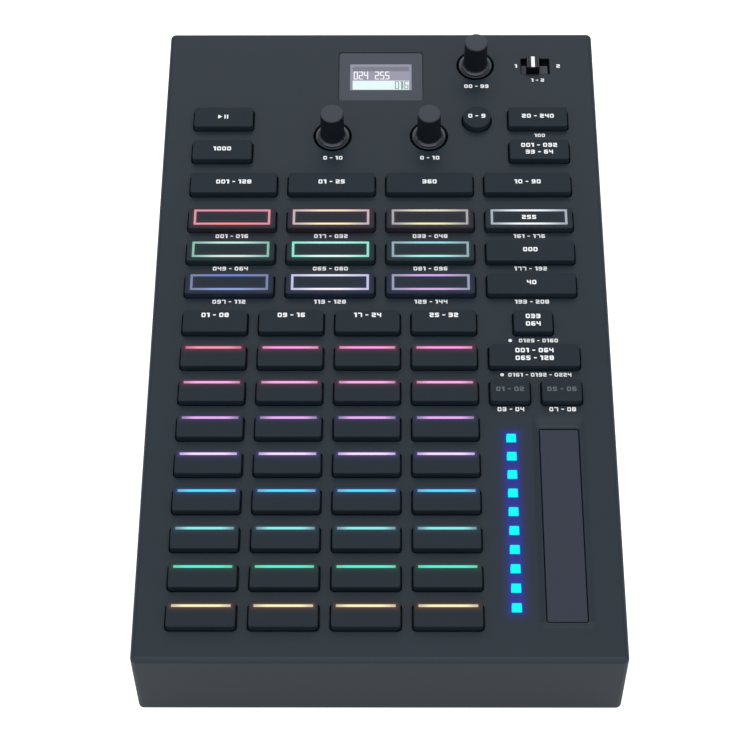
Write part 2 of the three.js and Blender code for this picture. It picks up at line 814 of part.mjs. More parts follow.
function topCase() {
  const outer = { width: caseWidth, depth: caseDepth, radius: cornerRadius };
  const inner = grown(outer, -wallThickness);
  const half = topEdgeRadius * (1 - Math.SQRT1_2);
  const shell = loft([
    { outline: roundedOutline(outer), z: footHeight },
    { outline: roundedOutline(outer), z: panelTop - topEdgeRadius },
    { outline: roundedOutline(grown(outer, -half)), z: panelTop - half },
    { outline: roundedOutline(grown(outer, -topEdgeRadius)), z: panelTop },
  ]);
  const hollow = box(inner, footHeight - cutOverrun, panelUnder);
  const screwPosts = corners.map(({ side, end }) =>
    roundBlock(
      {
        x: side * screwX,
        y: end * screwY,
        diameter: 2 * screwPostRadius,
        steps: smallRoundSteps,
      },
      plateTop + slipGap,
      panelTop - panelThickness / 2,
    ),
  );
  const posts = boardPosts.map((post) =>
    roundBlock(post, boardTop + slipGap, panelTop - panelThickness / 2),
  );
  const pilots = corners.map(({ side, end }) =>
    roundBlock(
      {
        x: side * screwX,
        y: end * screwY,
        diameter: 2 * (screwShankRadius + slipGap),
        steps: tinyRoundSteps,
      },
      plateTop - cutOverrun,
      plateTop + slipGap + screwPilotDepth,
    ),
  );
  const keyOpenings = keyRows.flatMap(({ caps }) =>
    caps.map((size) => block(grown(size, keyGap), panelUnder - cutOverrun, panelTop + cutOverrun)),
  );
  const backOpening = roundBlock(
    { ...backKey, diameter: backKeyDiameter + 2 * keyGap },
    panelUnder - cutOverrun,
    panelTop + cutOverrun,
  );
  const frame = joined([shell.subtract(hollow), ...screwPosts, ...posts]);
  return mesh(
    "top_case",
    cutBy(frame, [
      ...pilots,
      ...keyOpenings,
      backOpening,
      ...knobHoles(),
      ...displayCutters(),
      recessCutter(),
      ...lightHoles(),
      slotCutter(),
      ...socketHoles(),
    ]),
    casePlastic,
  );
}

// Base plate: lies between the walls, with posts for both boards
function basePlate() {
  const size = {
    width: caseWidth - 2 * (wallThickness + slipGap),
    depth: caseDepth - 2 * (wallThickness + slipGap),
  };
  const posts = [
    ...boardPosts.map((post) => roundBlock(post, plateTop - plateThickness / 2, boardBottom - slipGap)),
    ...ioPosts.map((post) => roundBlock(post, plateTop - plateThickness / 2, ioBoardBottom - slipGap)),
  ];
  const screwHoles = corners.map(({ side, end }) => {
    const wide = screwHeadRadius + slipGap;
    const narrow = screwShankRadius + slipGap;
    const seat = footHeight + screwHeadSink + screwHeadHeight;
    const profile = [
      [0, footHeight - cutOverrun],
      [wide, footHeight - cutOverrun],
      [wide, footHeight + screwHeadSink],
      [narrow, seat],
      [narrow, plateTop + cutOverrun],
      [0, plateTop + cutOverrun],
    ];
    return turned(profile, { x: side * screwX, y: end * screwY, steps: smallRoundSteps });
  });
  const footSeats = corners.map(({ side, end }) =>
    roundBlock(
      { x: side * footX, y: end * footY, diameter: 2 * (footRadius + slipGap) },
      footHeight - cutOverrun,
      footHeight + footSeat,
    ),
  );
  const plate = joined([box(size, footHeight, plateTop), ...posts]);
  return mesh("base_plate", cutBy(plate, [...screwHoles, ...footSeats]), plateSteel);
}

const cornerName = ({ side, end }) => `${end < 0 ? "front" : "rear"}_${side < 0 ? "left" : "right"}`;

function caseScrew(corner) {
  const low = footHeight + screwHeadSink;
  const place = { x: corner.side * screwX, y: corner.end * screwY };
  const profile = [
    [0, low],
    [screwHeadRadius, low],
    [screwShankRadius, low + screwHeadHeight],
    [screwShankRadius, low + screwLength],
    [0, low + screwLength],
  ];
  const drive = roundBlock(
    { ...place, diameter: 2 * screwDriveRadius, steps: screwDriveFlats },
    low - cutOverrun,
    low + screwDriveDepth,
  );
  const made = turned(profile, { ...place, steps: smallRoundSteps }).subtract(drive);
  return mesh(`case_screw_${cornerName(corner)}`, made, brightSteel);
}

function rubberFoot(corner) {
  const profile = [
    [0, 0],
    [footRadius - footEdgeBevel, 0],
    [footRadius, footEdgeBevel],
    [footRadius, footHeight + footSeat - slipGap],
    [0, footHeight + footSeat - slipGap],
  ];
  const place = { x: corner.side * footX, y: corner.end * footY };
  return mesh(`foot_${cornerName(corner)}`, turned(profile, place), footRubber);
}

const controller = groupOf(
  groupOf(topCase(), basePlate(), corners.map(caseScrew), corners.map(rubberFoot)),
  groupOf(keyRows.map(keyRow), roundBackKey()),
  groupOf(
    knob("select_knob", knobPlaces.select),
    knob("speed_knob", knobPlaces.speed),
    knob("color_knob", knobPlaces.color),
    selectRotor(knobPlaces.select),
    encoder("select_encoder", knobPlaces.select, true),
    encoder("speed_encoder", knobPlaces.speed, false),
    encoder("color_encoder", knobPlaces.color, false),
  ),
  groupOf(displayWindow(), displayModule(), touchStrip(), levelLightGuide()),
  groupOf(switchSlider(), switchBody()),
  groupOf(mainBoard(), socketBoard(), dmxPlaces.map(dmxSocket), usbPlaces.map(usbSocket)),
);

export default controller;
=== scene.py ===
import math

import bmesh
import bpy
from mathutils import Matrix, Vector


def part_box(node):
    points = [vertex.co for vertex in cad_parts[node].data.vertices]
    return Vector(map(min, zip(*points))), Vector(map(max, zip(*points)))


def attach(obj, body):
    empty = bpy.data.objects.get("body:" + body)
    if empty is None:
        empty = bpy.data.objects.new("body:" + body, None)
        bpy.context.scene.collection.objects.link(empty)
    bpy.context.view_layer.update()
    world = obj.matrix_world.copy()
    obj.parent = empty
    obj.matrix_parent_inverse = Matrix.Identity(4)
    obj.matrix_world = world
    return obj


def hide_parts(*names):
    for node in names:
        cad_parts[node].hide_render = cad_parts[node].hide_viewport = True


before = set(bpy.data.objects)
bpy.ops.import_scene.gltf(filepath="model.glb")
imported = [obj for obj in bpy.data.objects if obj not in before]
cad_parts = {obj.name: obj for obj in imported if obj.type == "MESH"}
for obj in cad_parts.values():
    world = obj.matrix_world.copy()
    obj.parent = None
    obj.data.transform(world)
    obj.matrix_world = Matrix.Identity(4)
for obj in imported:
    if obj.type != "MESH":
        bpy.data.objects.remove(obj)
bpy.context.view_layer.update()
scene = bpy.context.scene


# Rubber feet. Each is moulded in black rubber with a soft edge and a shallow dish below, so that only a ring
# of it touches the table. It sits in a shallow seat of the base plate.
foot_edge = 0.0006
foot_ring = 0.0024
foot_dish = 0.0005
foot_look = {"colour": "#16171a", "roughness": 0.82, "grain_size": 0.0007, "bump": 0.00002}
foot_steps = 48
small_steps = 3
merge_distance = 0.000001
soft_angle = math.radians(35)
sharp_angle = math.radians(50)
grain_detail = 3.0
cloud_scale = 22.0
cloud_detail = 4.0


def nodes_named(start):
    """The frame's nodes whose names have the same start, in order."""
    return sorted(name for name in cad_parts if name.startswith(start))


def place_of(node):
    """The low and the high corner of a node's box, its size and its middle."""
    low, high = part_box(node)
    return low, high, high - low, (low + high) / 2


def shade(code):
    """A colour written as a web code, in the linear values that a material takes."""
    parts = [int(code[at:at + 2], 16) / 255 for at in (1, 3, 5)]
    return (*[part / 12.92 if part <= 0.04045 else ((part + 0.055) / 1.055) ** 2.4 for part in parts], 1)


def connect(tree, node, inputs):
    """Sets or links the inputs of a node."""
    for label, value in inputs.items():
        if isinstance(value, bpy.types.NodeSocket):
            tree.links.new(value, node.inputs[label])
        else:
            node.inputs[label].default_value = value


def shader_node(tree, kind, inputs=None, **settings):
    """Makes one node with its settings and inputs, and returns its outputs."""
    made = tree.nodes.new(kind)
    for setting, value in settings.items():
        setattr(made, setting, value)
    connect(tree, made, inputs or {})
    return made.outputs


def maths(tree, operation, *values):
    """The result of one sum, made on numbers or outputs."""
    return shader_node(tree, "ShaderNodeMath", dict(enumerate(values)), operation=operation)[0]


def mixed(tree, share, first, second, blend="MIX"):
    """Two colours, mixed by a share."""
    given = {0: share, 6: first, 7: second}
    return shader_node(tree, "ShaderNodeMix", given, data_type="RGBA", blend_type=blend)[2]


def noise(tree, scale, detail):
    """Soft noise, fixed to the object."""
    place = shader_node(tree, "ShaderNodeTexCoord")["Object"]
    return shader_node(tree, "ShaderNodeTexNoise", {"Vector": place, "Scale": scale, "Detail": detail})["Fac"]


def effect_group(name, inputs, outputs):
    """An empty shader group with its named sockets: its tree, what it is given and its output node."""
    tree = bpy.data.node_groups.new(name, "ShaderNodeTree")
    for side, sockets in (("INPUT", inputs), ("OUTPUT", outputs)):
        for label, kind in sockets.items():
            tree.interface.new_socket(label, in_out=side, socket_type=f"NodeSocket{kind}")
    return tree, tree.nodes.new("NodeGroupInput").outputs, tree.nodes.new("NodeGroupOutput")


def grain_effect():
    """The fine spark-eroded grain of a moulding: colour and gloss vary a little, and it is slightly rough."""
    tree, given, result = effect_group(
        "moulded_grain",
        {"Color": "Color", "Roughness": "Float", "Grain Size": "Float", "Variation": "Float"},
        {"Color": "Color", "Roughness": "Float", "Height": "Float"},
    )
    grain = noise(tree, maths(tree, "DIVIDE", 1.0, given["Grain Size"]), grain_detail)
    both = maths(tree, "ADD", grain, noise(tree, cloud_scale, cloud_detail))
    centred = maths(tree, "SUBTRACT", both, 1.0)
    swing = maths(tree, "MULTIPLY_ADD", centred, given["Variation"], 1.0)
    coloured = mixed(tree, 1.0, given["Color"], swing, "MULTIPLY")
    rough = maths(tree, "MULTIPLY", given["Roughness"], swing)
    connect(tree, result, {"Color": coloured, "Roughness": rough, "Height": grain})
    return tree


moulded_grain = grain_effect()


def new_finish(name):
    """A new material, with its tree and its shader."""
    material = bpy.data.materials.new(name)
    material.use_nodes = True
    return material, material.node_tree, material.node_tree.nodes["Principled BSDF"]


def moulding(
    name, colour, roughness, grain_size=0.0004, variation=0.12, bump=0.00001, metallic=0.0, specular=0.5
):
    """A moulded or painted finish with its grain."""
    material, tree, shader = new_finish(name)
    given = {"Color": shade(colour), "Roughness": roughness, "Grain Size": grain_size, "Variation": variation}
    grain = shader_node(tree, "ShaderNodeGroup", given, node_tree=moulded_grain)
    given = {"Height": grain["Height"], "Strength": 1.0, "Distance": bump}
    relief = shader_node(tree, "ShaderNodeBump", given)
    connect(tree, shader, {
        "Base Color": grain["Color"],
        "Roughness": grain["Roughness"],
        "Normal": relief["Normal"],
        "Metallic": metallic,
        "Specular IOR Level": specular,
    })
    return material


def finished(bm, name, material, slot, *nodes, body="root"):
    """Makes the piece of a bmesh, with its finish, the nodes that it stands for and its body."""
    mesh = bpy.data.meshes.new(name)
    bmesh.ops.recalc_face_normals(bm, faces=bm.faces)
    bm.to_mesh(mesh)
    bm.free()
    mesh.shade_smooth()
    mesh.set_sharp_from_angle(angle=sharp_angle)
    mesh.materials.append(material)
    piece = bpy.data.objects.new(name, mesh)
    scene.collection.objects.link(piece)
    piece.modifiers.new("even_faces", "WEIGHTED_NORMAL").keep_sharp = True
    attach(piece, body)
    if nodes:
        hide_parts(*nodes)


def turned(profile, middle, steps):
    """A body turned round an upright line through the middle, from a profile of radii and heights."""
    bm = bmesh.new()
    points = [bm.verts.new((radius, 0, height)) for radius, height in profile]
    lines = [bm.edges.new(pair) for pair in zip(points, points[1:])]
    bmesh.ops.spin(
        bm, geom=points + lines, cent=(0, 0, 0), axis=(0, 0, 1), angle=math.tau, steps=steps, use_merge=True
    )
    bmesh.ops.remove_doubles(bm, verts=bm.verts, dist=merge_distance)
    bmesh.ops.translate(bm, verts=bm.verts, vec=(*middle.xy, 0))
    return bm


def bevelled(bm, edges, radius, segments):
    """Rounds edges, and returns the points of the new faces."""
    return bmesh.ops.bevel(
        bm, geom=edges, offset=radius, offset_type="OFFSET", segments=segments, profile=0.5, affect="EDGES",
        material=-1,
    )["verts"]


foot_rubber = moulding("foot_rubber", **foot_look)
for node in nodes_named("foot_"):
    low, high, size, middle = place_of(node)
    radius = size.x / 2
    profile = [
        (0, foot_dish),
        (radius - foot_ring - foot_dish, foot_dish),
        (radius - foot_ring, 0),
        (radius - foot_edge / 2, 0),
        (radius, foot_edge),
        (radius, high.z),
        (0, high.z),
    ]
    foot = turned(profile, middle, foot_steps)
    corners = [edge for edge in foot.edges if edge.is_manifold and edge.calc_face_angle() > soft_angle]
    bevelled(foot, corners, foot_edge / 3, small_steps)
    finished(foot, f"{node}_rubber", foot_rubber, "foot_rubber", node)


# Base plate. A sheet of steel, stamped with seats for the feet and countersinks for the screws, and powder
# coated in black. It closes the case from below, just inside the walls, and carries the posts of the boards.
plate_thickness = 0.002
plate_edge = 0.0003
plate_corner = 0.0022
seat_gap = 0.0003
foot_seat_depth = 0.0008
foot_seat_steps = 10
screw_steps = 8
countersink_depth = 0.0016
countersink_taper = 0.0014
board_post = 0.005
board_post_shares = (-0.36, 0, 0.36)
io_post = 0.006
io_post_inset = 0.006
board_gap = 0.0003
plate_look = {
    "colour": "#2a2c31", "roughness": 0.48, "grain_size": 0.0009, "variation": 0.2, "bump": 0.00003,
    "metallic": 0.25,
}
same_level = 0.00001


def facing_up(circle):
    """The face of a new circle, turned to look up."""
    face = circle["verts"][0].link_faces[0]
    face.normal_update()
    if face.normal.z < 0:
        face.normal_flip()
    return face


def outline(bm, x, y, width, depth, radius, z, steps=6):
    """A flat face with round corners, made from a circle whose quarters are moved apart."""
    half_step = math.pi / (4 * steps)
    turn = Matrix.Rotation(half_step, 4, "Z")
    circle = bmesh.ops.create_circle(
        bm, cap_ends=True, segments=4 * steps, radius=radius / math.cos(half_step), matrix=turn
    )
    for corner in circle["verts"]:
        corner.co.x += x + math.copysign(width / 2 - radius, corner.co.x)
        corner.co.y += y + math.copysign(depth / 2 - radius, corner.co.y)
        corner.co.z = z
    return facing_up(circle)


def disc(bm, x, y, diameter, z, steps=6):
    """A flat round face."""
    return outline(bm, x, y, diameter, diameter, diameter / 2, z, steps)


def shaped(bm, face, moves):
    """Carries a face through moves, each inwards and up, and leaves the walls behind it."""
    for inwards, up in moves:
        bmesh.ops.inset_individual(bm, faces=[face], thickness=inwards, depth=up, use_even_offset=True)
    return face


def opened(bm, face):
    """Takes a face away and leaves its edge open."""
    bmesh.ops.delete(bm, geom=[face], context="FACES_ONLY")


def walled(bm, face, moves):
    """Carries a face through moves as well, and leaves the end open."""
    opened(bm, shaped(bm, face, moves))


def rounding(radius, rise, flat_first=False, steps=4):
    """Moves round a quarter circle: up and then inwards, or inwards first."""
    turns = [step * math.pi / 2 / steps for step in range(steps + 1)]
    points = [(radius * (1 - math.cos(turn)), radius * math.sin(turn)) for turn in turns]
    if flat_first:
        points = [(along, across) for across, along in points]
    return [(b[0] - a[0], rise * (b[1] - a[1])) for a, b in zip(points, points[1:])]


def fill_flat(bm, level, axis=2):
    """Closes the flat surface between all open edges that lie at one level."""
    edges = [
        edge for edge in bm.edges
        if edge.is_boundary and all(abs(vert.co[axis] - level) < same_level for vert in edge.verts)
    ]
    bmesh.ops.triangle_fill(bm, use_beauty=True, use_dissolve=False, edges=edges)


def post(bm, x, y, diameter, bottom, top):
    """A round post, made as a body of its own that stands in the sheet below it."""
    shaped(bm, disc(bm, x, y, diameter, bottom), [(0, top - bottom)])
    fill_flat(bm, bottom)


plate_low, plate_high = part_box("base_plate")
plate_top = plate_low.z + plate_thickness
plate = bmesh.new()
sheet = outline(
    plate, 0, 0, plate_high.x - plate_low.x - 2 * plate_edge, plate_high.y - plate_low.y - 2 * plate_edge,
    plate_corner - plate_edge, plate_low.z,
)
upright = (0, plate_thickness - 2 * plate_edge)
shaped(plate, sheet, [(-plate_edge, plate_edge), upright, (plate_edge, plate_edge)])
sinking = [(0, countersink_depth - countersink_taper), (countersink_taper, countersink_taper)]
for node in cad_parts:
    for start, steps, moves in (
        ("foot_", foot_seat_steps, [(0, foot_seat_depth)]), ("case_screw_", screw_steps, sinking)
    ):
        if node.startswith(start):
            low, high, size, middle = place_of(node)
            shaped(plate, disc(plate, *middle.xy, size.x + 2 * seat_gap, plate_low.z, steps), moves)
fill_flat(plate, plate_low.z)
board_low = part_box("main_board")[0]
io_low, io_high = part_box("socket_board")
case_low, case_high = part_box("top_case")
case_size = case_high - case_low
screw_middles = [place_of(node)[3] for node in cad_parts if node.startswith("case_screw_")]
post_x = max(middle.x for middle in screw_middles)
post_bottom = plate_top - plate_edge
for side in (-1, 1):
    for share in board_post_shares:
        post(plate, side * post_x, share * case_size.y, board_post, post_bottom, board_low.z - board_gap)
    for y in (io_low.y + io_post_inset, io_high.y - io_post_inset):
        post(plate, side * (io_high.x - io_post_inset), y, io_post, post_bottom, io_low.z - board_gap)
finished(plate, "base_sheet", moulding("plate_coating", **plate_look), "plate_steel", "base_plate")


# Case screws. Four countersunk steel screws with a hexagon socket run up through the base plate into posts
# of the top case. They are zinc plated, with the fine rings that turning leaves.
screw_taper = 0.0014
socket_radius = 0.001
socket_depth = 0.0007
turning_marks = {"grain_size": 0.00025, "variation": 0.3, "bump": 0.000004, "metallic": 1.0}

bright_steel = moulding("bright_steel", "#b9bbc0", 0.3, **turning_marks)
for node in nodes_named("case_screw_"):
    low, high, size, middle = place_of(node)
    screw = bmesh.new()
    head = disc(screw, *middle.xy, size.x, low.z, screw_steps)
    shaped(screw, head, [(screw_taper, screw_taper), (0, size.z - screw_taper)])
    place = Matrix.Translation((*middle.xy, low.z))
    socket = bmesh.ops.create_circle(screw, cap_ends=True, segments=6, radius=socket_radius, matrix=place)
    shaped(screw, facing_up(socket), [(0, socket_depth)])
    fill_flat(screw, low.z)
    finished(screw, f"{node}_steel", bright_steel, "bright_steel", node)


# Circuit boards. Glass-fibre laminate under dark green solder mask, with the encoders and the screen module
# soldered or clipped on. They keep their plain shapes, because the case hides them.
board_look = {"colour": "#0a1712", "roughness": 0.38, "grain_size": 0.0012, "variation": 0.15}
track_colour = "#2f6a44"
track_pattern = {"Scale": 130.0, "Mortar Size": 0.03, "Row Height": 0.3, "Brick Width": 1.7}
component_look = {"colour": "#17181c", "roughness": 0.5}


def refinish(node, material):
    """Gives a node of the frame its finish."""
    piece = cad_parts[node]
    piece.data.materials.clear()
    piece.data.materials.append(material)


board_laminate = moulding("board_laminate", **board_look)
tree = board_laminate.node_tree
shader = tree.nodes["Principled BSDF"]
mask_colour = shader.inputs["Base Color"].links[0].from_socket
place = shader_node(tree, "ShaderNodeTexCoord")["Object"]
tracks = shader_node(tree, "ShaderNodeTexBrick", {"Vector": place, **track_pattern})
connect(tree, shader, {"Base Color": mixed(tree, tracks["Fac"], mask_colour, shade(track_colour))})
component_plastic = moulding("component_plastic", **component_look)
for node in ("main_board", "socket_board"):
    refinish(node, board_laminate)
for node in ("select_encoder", "speed_encoder", "color_encoder", "display_module"):
    refinish(node, component_plastic)
refinish("select_rotor", bright_steel)


# Rear sockets, round. Two 3-pole stage sockets in black nylon look out of the back wall. Each has a flange,
# a deep ring for the plug's shell, an insert with three gold-plated contact tubes, and a steel latch at the
# top.
round_edge = 0.00035
round_flange = 0.002
round_body = 0.021
round_bore = 0.0188
round_bore_depth = 0.012
round_insert = 0.0152
round_insert_drop = 0.0012
round_steps = 14
round_contact_circle = 0.0043
round_contact_hole = 0.0026
round_contact_depth = 0.006
round_contact_wall = 0.00035
latch_width = 0.0048
latch_height = 0.0011
latch_drop = 0.0004
round_foot = 0.014
nylon_look = {"colour": "#17191d", "roughness": 0.42, "grain_size": 0.0005}
facing_back = Matrix.Rotation(-math.pi / 2, 4, "X")


def block(x, y, width, depth, radius, z, moves, steps=6):
    """A body of its own: an outline carried through moves, and closed below."""
    bm = bmesh.new()
    shaped(bm, outline(bm, x, y, width, depth, radius, z, steps), moves)
    fill_flat(bm, z)
    return bm


def set_in_back(bm, place, name, material, slot, *nodes):
    """Turns a body that was made looking up so that it looks out of the back wall, and finishes it."""
    bmesh.ops.transform(bm, matrix=Matrix.Translation(place) @ facing_back, verts=bm.verts)
    finished(bm, name, material, slot, *nodes)


socket_nylon = moulding("socket_nylon", **nylon_look)
contact_gold = moulding("contact_gold", "#d8a64a", 0.25, **turning_marks)
contact_turns = [-math.pi / 2 + step * math.tau / 3 for step in range(3)]
contact_places = [
    (round_contact_circle * math.cos(turn), round_contact_circle * math.sin(turn)) for turn in contact_turns
]
contact_bottom = -round_insert_drop - round_contact_depth
contact_bore = round_contact_depth - 2 * round_edge
for node in nodes_named("dmx_socket_"):
    low, high, size, middle = place_of(node)
    centre = (middle.x, high.y, high.z - size.x / 2)
    shell = bmesh.new()
    moves = [(0, round_flange - round_edge), *rounding(round_edge, 1)]
    walled(shell, disc(shell, 0, 0, size.x, -round_flange, round_steps), moves)
    moves = [*rounding(round_edge / 2, -1, True), (0, round_edge / 2 - round_bore_depth)]
    walled(shell, disc(shell, 0, 0, round_bore, 0, round_steps), moves)
    moves = [(0, round_bore_depth - round_insert_drop - round_edge), *rounding(round_edge, 1)]
    walled(shell, disc(shell, 0, 0, round_insert, -round_bore_depth, round_steps), moves)
    for x, y in contact_places:
        hole = disc(shell, x, y, round_contact_hole, -round_insert_drop)
        shaped(shell, hole, [*rounding(round_edge / 2, -1, True), (0, -round_contact_depth)])
    rear = disc(shell, 0, 0, round_body, -round_flange, round_steps)
    shaped(shell, rear, [(0, round_flange - size.y)])
    for level in (0, -round_bore_depth, -round_insert_drop, -round_flange):
        fill_flat(shell, level)
    set_in_back(shell, centre, f"{node}_nylon", socket_nylon, "switch_plastic", node)
    contacts = bmesh.new()
    for x, y in contact_places:
        tube = disc(contacts, x, y, round_contact_hole - round_edge, contact_bottom)
        shaped(contacts, tube, [(0, contact_bore), (round_contact_wall, 0), (0, round_edge - contact_bore)])
    fill_flat(contacts, contact_bottom)
    set_in_back(contacts, centre, f"{node}_contacts", contact_gold, "bright_steel")
    latch_y = (round_bore + round_insert) / 4
    moves = [(0, round_bore_depth - latch_drop - round_edge), *rounding(round_edge, 1)]
    latch = block(0, latch_y, latch_width, latch_height, latch_height / 4, -round_bore_depth, moves)
    set_in_back(latch, centre, f"{node}_latch", bright_steel, "bright_steel")
    foot_length = size.y - 2 * round_flange
    moves = [(0, centre[2] - low.z - round_body / 4)]
    foot_y = low.y + foot_length / 2
    foot = block(middle.x, foot_y, round_foot, foot_length, round_edge, low.z, moves, small_steps)
    finished(foot, f"{node}_foot", socket_nylon, "switch_plastic")


# Rear sockets, square. Two data sockets have a folded shell of nickel-plated steel with two corners cut off
# its mouth. A white tongue inside carries four gold contacts.
square_wall = 0.00175
square_end_wall = 0.00155
square_mouth_depth = 0.009
square_chamfer = 0.0016
square_edge = 0.0003
tongue_width = 0.0056
tongue_height = 0.0032
tongue_drop = 0.001
tongue_contact_width = 0.0012
tongue_contact_places = (-0.0013, 0.0013)
tongue_look = {"colour": "#d9d9d4", "roughness": 0.45}

socket_nickel = moulding("socket_nickel", "#c4c6ca", 0.22, **turning_marks)
tongue_plastic = moulding("tongue_plastic", **tongue_look)
for node in nodes_named("usb_socket_"):
    low, high, size, middle = place_of(node)
    centre = (middle.x, high.y, middle.z)
    shell = bmesh.new()
    face = outline(shell, 0, 0, size.x, size.z, square_edge, -size.y, small_steps)
    walled(shell, face, [(0, size.y - square_edge), *rounding(square_edge, 1)])
    half = size.x / 2 - square_wall
    end = size.z / 2 - square_end_wall
    cut_half, cut_end = half - square_chamfer, end - square_chamfer
    corners = [
        (-half, -end), (half, -end), (half, cut_end), (cut_half, end), (-cut_half, end), (-half, cut_end)
    ]
    mouth = shell.faces.new([shell.verts.new((x, y, 0)) for x, y in corners])
    mouth.normal_update()
    shaped(shell, mouth, [(0, -square_mouth_depth)])
    fill_flat(shell, 0)
    fill_flat(shell, -size.y)
    set_in_back(shell, centre, f"{node}_shell", socket_nickel, "bright_steel", node)
    moves = [(0, square_mouth_depth - tongue_drop - square_edge), *rounding(square_edge, 1)]
    tongue = block(0, 0, tongue_width, tongue_height, square_edge, -square_mouth_depth, moves, small_steps)
    set_in_back(tongue, centre, f"{node}_tongue", tongue_plastic, "switch_plastic")
    strips = bmesh.new()
    for y in (-tongue_height / 2, tongue_height / 2):
        for x in tongue_contact_places:
            place = (x, y, tongue_contact_width, square_edge, square_edge / 4, -square_mouth_depth)
            strip = outline(strips, *place, small_steps)
            shaped(strips, strip, [(0, square_mouth_depth - 2 * tongue_drop)])
    fill_flat(strips, -square_mouth_depth)
    set_in_back(strips, centre, f"{node}_contacts", contact_gold, "bright_steel")


# Top case. One moulding in dark blue-grey plastic with a fine matt grain: a flat deck and four walls, with
# round corners, a softened rim round every opening, and a dish for the touch strip. Its openings follow the
# frame.
case_look = {
    "colour": "#202c36", "roughness": 0.4, "grain_size": 0.00035, "variation": 0.1, "specular": 0.4,
}
case_corner = 0.0025
case_top_edge = 0.0021
case_wall = 0.0025
case_bottom_edge = 0.0003
case_steps = 8
case_edge_steps = 10
deck_thickness = 0.003
rim = 0.00025
key_gap = 0.0006
key_corner = 0.0012
key_lip = 0.0013
key_depth = 0.0113
pads_in_row = 4
keys_in_position_row = 3
knob_ring_gap = 0.00105
knob_ring_steps = 18
window_gap = 0.0001
window_corner = 0.0015
window_seat = 0.0015
window_ledge = 0.0029
light_gap = 0.00015
light_side = 0.004
light_count = 10
slot_width = 0.0136
slot_depth = 0.0098
slot_corner = 0.0004
dish_side_slope = 0.00375
dish_back_slope = 0.008
dish_front_slope = 0.0034
dish_corner = 0.001
dish_steps = 8
# How far the slope's profile sways from a straight line, as a share of its depth
dish_sway_share = 0.08
strip_gap = 0.0003
socket_gap = 0.0003
screw_post = 0.007
screw_pilot = 0.003
screw_pilot_depth = 0.012
post_foot = plate_top + board_gap
deck = case_high.z
deck_under = deck - deck_thickness
pad_width = place_of("bank_button_1")[2].x - 2 * key_lip
wide_width = place_of("movement_button")[2].x - 2 * key_lip
glow_colour = "#0000ff"
glow_spread = 1.25
glow_strength = 0.35
# Between the lights the glow hardly fades, because they stand so close together
glow_along_share = 0.3
millimetres = 1000


def key_places(node):
    """The centres of a node's keys, their size and corner. The lip plate reaches past them on every side."""
    low, high, size, middle = place_of(node)
    length = size.x - 2 * key_lip
    count, width = 1, length
    if node.startswith("pad_row_"):
        count, width = pads_in_row, pad_width
    elif node.startswith("position_row_"):
        count, width = keys_in_position_row, wide_width
    pitch = (length - width) / max(count - 1, 1)
    left = low.x + key_lip + width / 2
    centres = [(left + order * pitch, middle.y) for order in range(count)]
    if node == "back_button":
        return centres, width, width, width / 2
    return centres, width, key_depth, key_corner


key_nodes = {
    node: key_places(node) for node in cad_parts
    if node.startswith(("pad_row_", "position_row_")) or "_button" in node
}


def deck_opening(x, y, width, depth, radius, steps=6, seat=None):
    """An opening in the deck with a softened rim. It goes right through unless it stops at a seat."""
    face = outline(case, x, y, width + 2 * rim, depth + 2 * rim, radius + rim, deck, steps)
    carry = walled if seat is None else shaped
    return carry(case, face, [*rounding(rim, -1, True, small_steps), (0, rim - (seat or deck_thickness))])


case = bmesh.new()
walls = outline(
    case, 0, 0, case_size.x - 2 * case_bottom_edge, case_size.y - 2 * case_bottom_edge,
    case_corner - case_bottom_edge, case_low.z, case_steps,
)
upright = (0, deck - case_low.z - case_top_edge - case_bottom_edge)
top_round = rounding(case_top_edge, 1, steps=case_edge_steps)
walled(case, walls, [(-case_bottom_edge, case_bottom_edge), upright, *top_round])
inner_size = (case_size.x - 2 * case_wall, case_size.y - 2 * case_wall)
hollow = outline(case, 0, 0, *inner_size, case_corner / 4, case_low.z, case_steps)
walled(case, hollow, [(0, deck_under - case_low.z)])
fill_flat(case, case_low.z)
for centres, key_width, this_depth, corner in key_nodes.values():
    steps = round_steps if key_width == this_depth else 6
    for x, y in centres:
        deck_opening(x, y, key_width + 2 * key_gap, this_depth + 2 * key_gap, corner + key_gap, steps)
for node in ("select_knob", "speed_knob", "color_knob"):
    low, high, size, middle = place_of(node)
    hole = size.x + 2 * knob_ring_gap
    deck_opening(*middle.xy, hole, hole, hole / 2, knob_ring_steps)
window_low, window_high, window_size, window_middle = place_of("display_window")
seat = deck_opening(
    0, window_middle.y, window_size.x + 2 * window_gap, window_size.y + 2 * window_gap,
    window_corner + window_gap, seat=window_seat,
)
walled(case, seat, [(window_ledge, 0), (0, window_seat - deck_thickness)])
guide_low, guide_high, guide_size, guide_middle = place_of("level_light_guide")
light_pitch = (guide_size.y - guide_size.x) / (light_count - 1)
light_places = [guide_low.y + guide_size.x / 2 + order * light_pitch for order in range(light_count)]
for y in light_places:
    side = light_side + 2 * light_gap
    deck_opening(guide_middle.x, y, side, side, 2 * light_gap, small_steps)
switch_high, switch_middle = place_of("usb_switch_body")[1::2]
deck_opening(*switch_middle.xy, slot_width, slot_depth, slot_corner, small_steps)

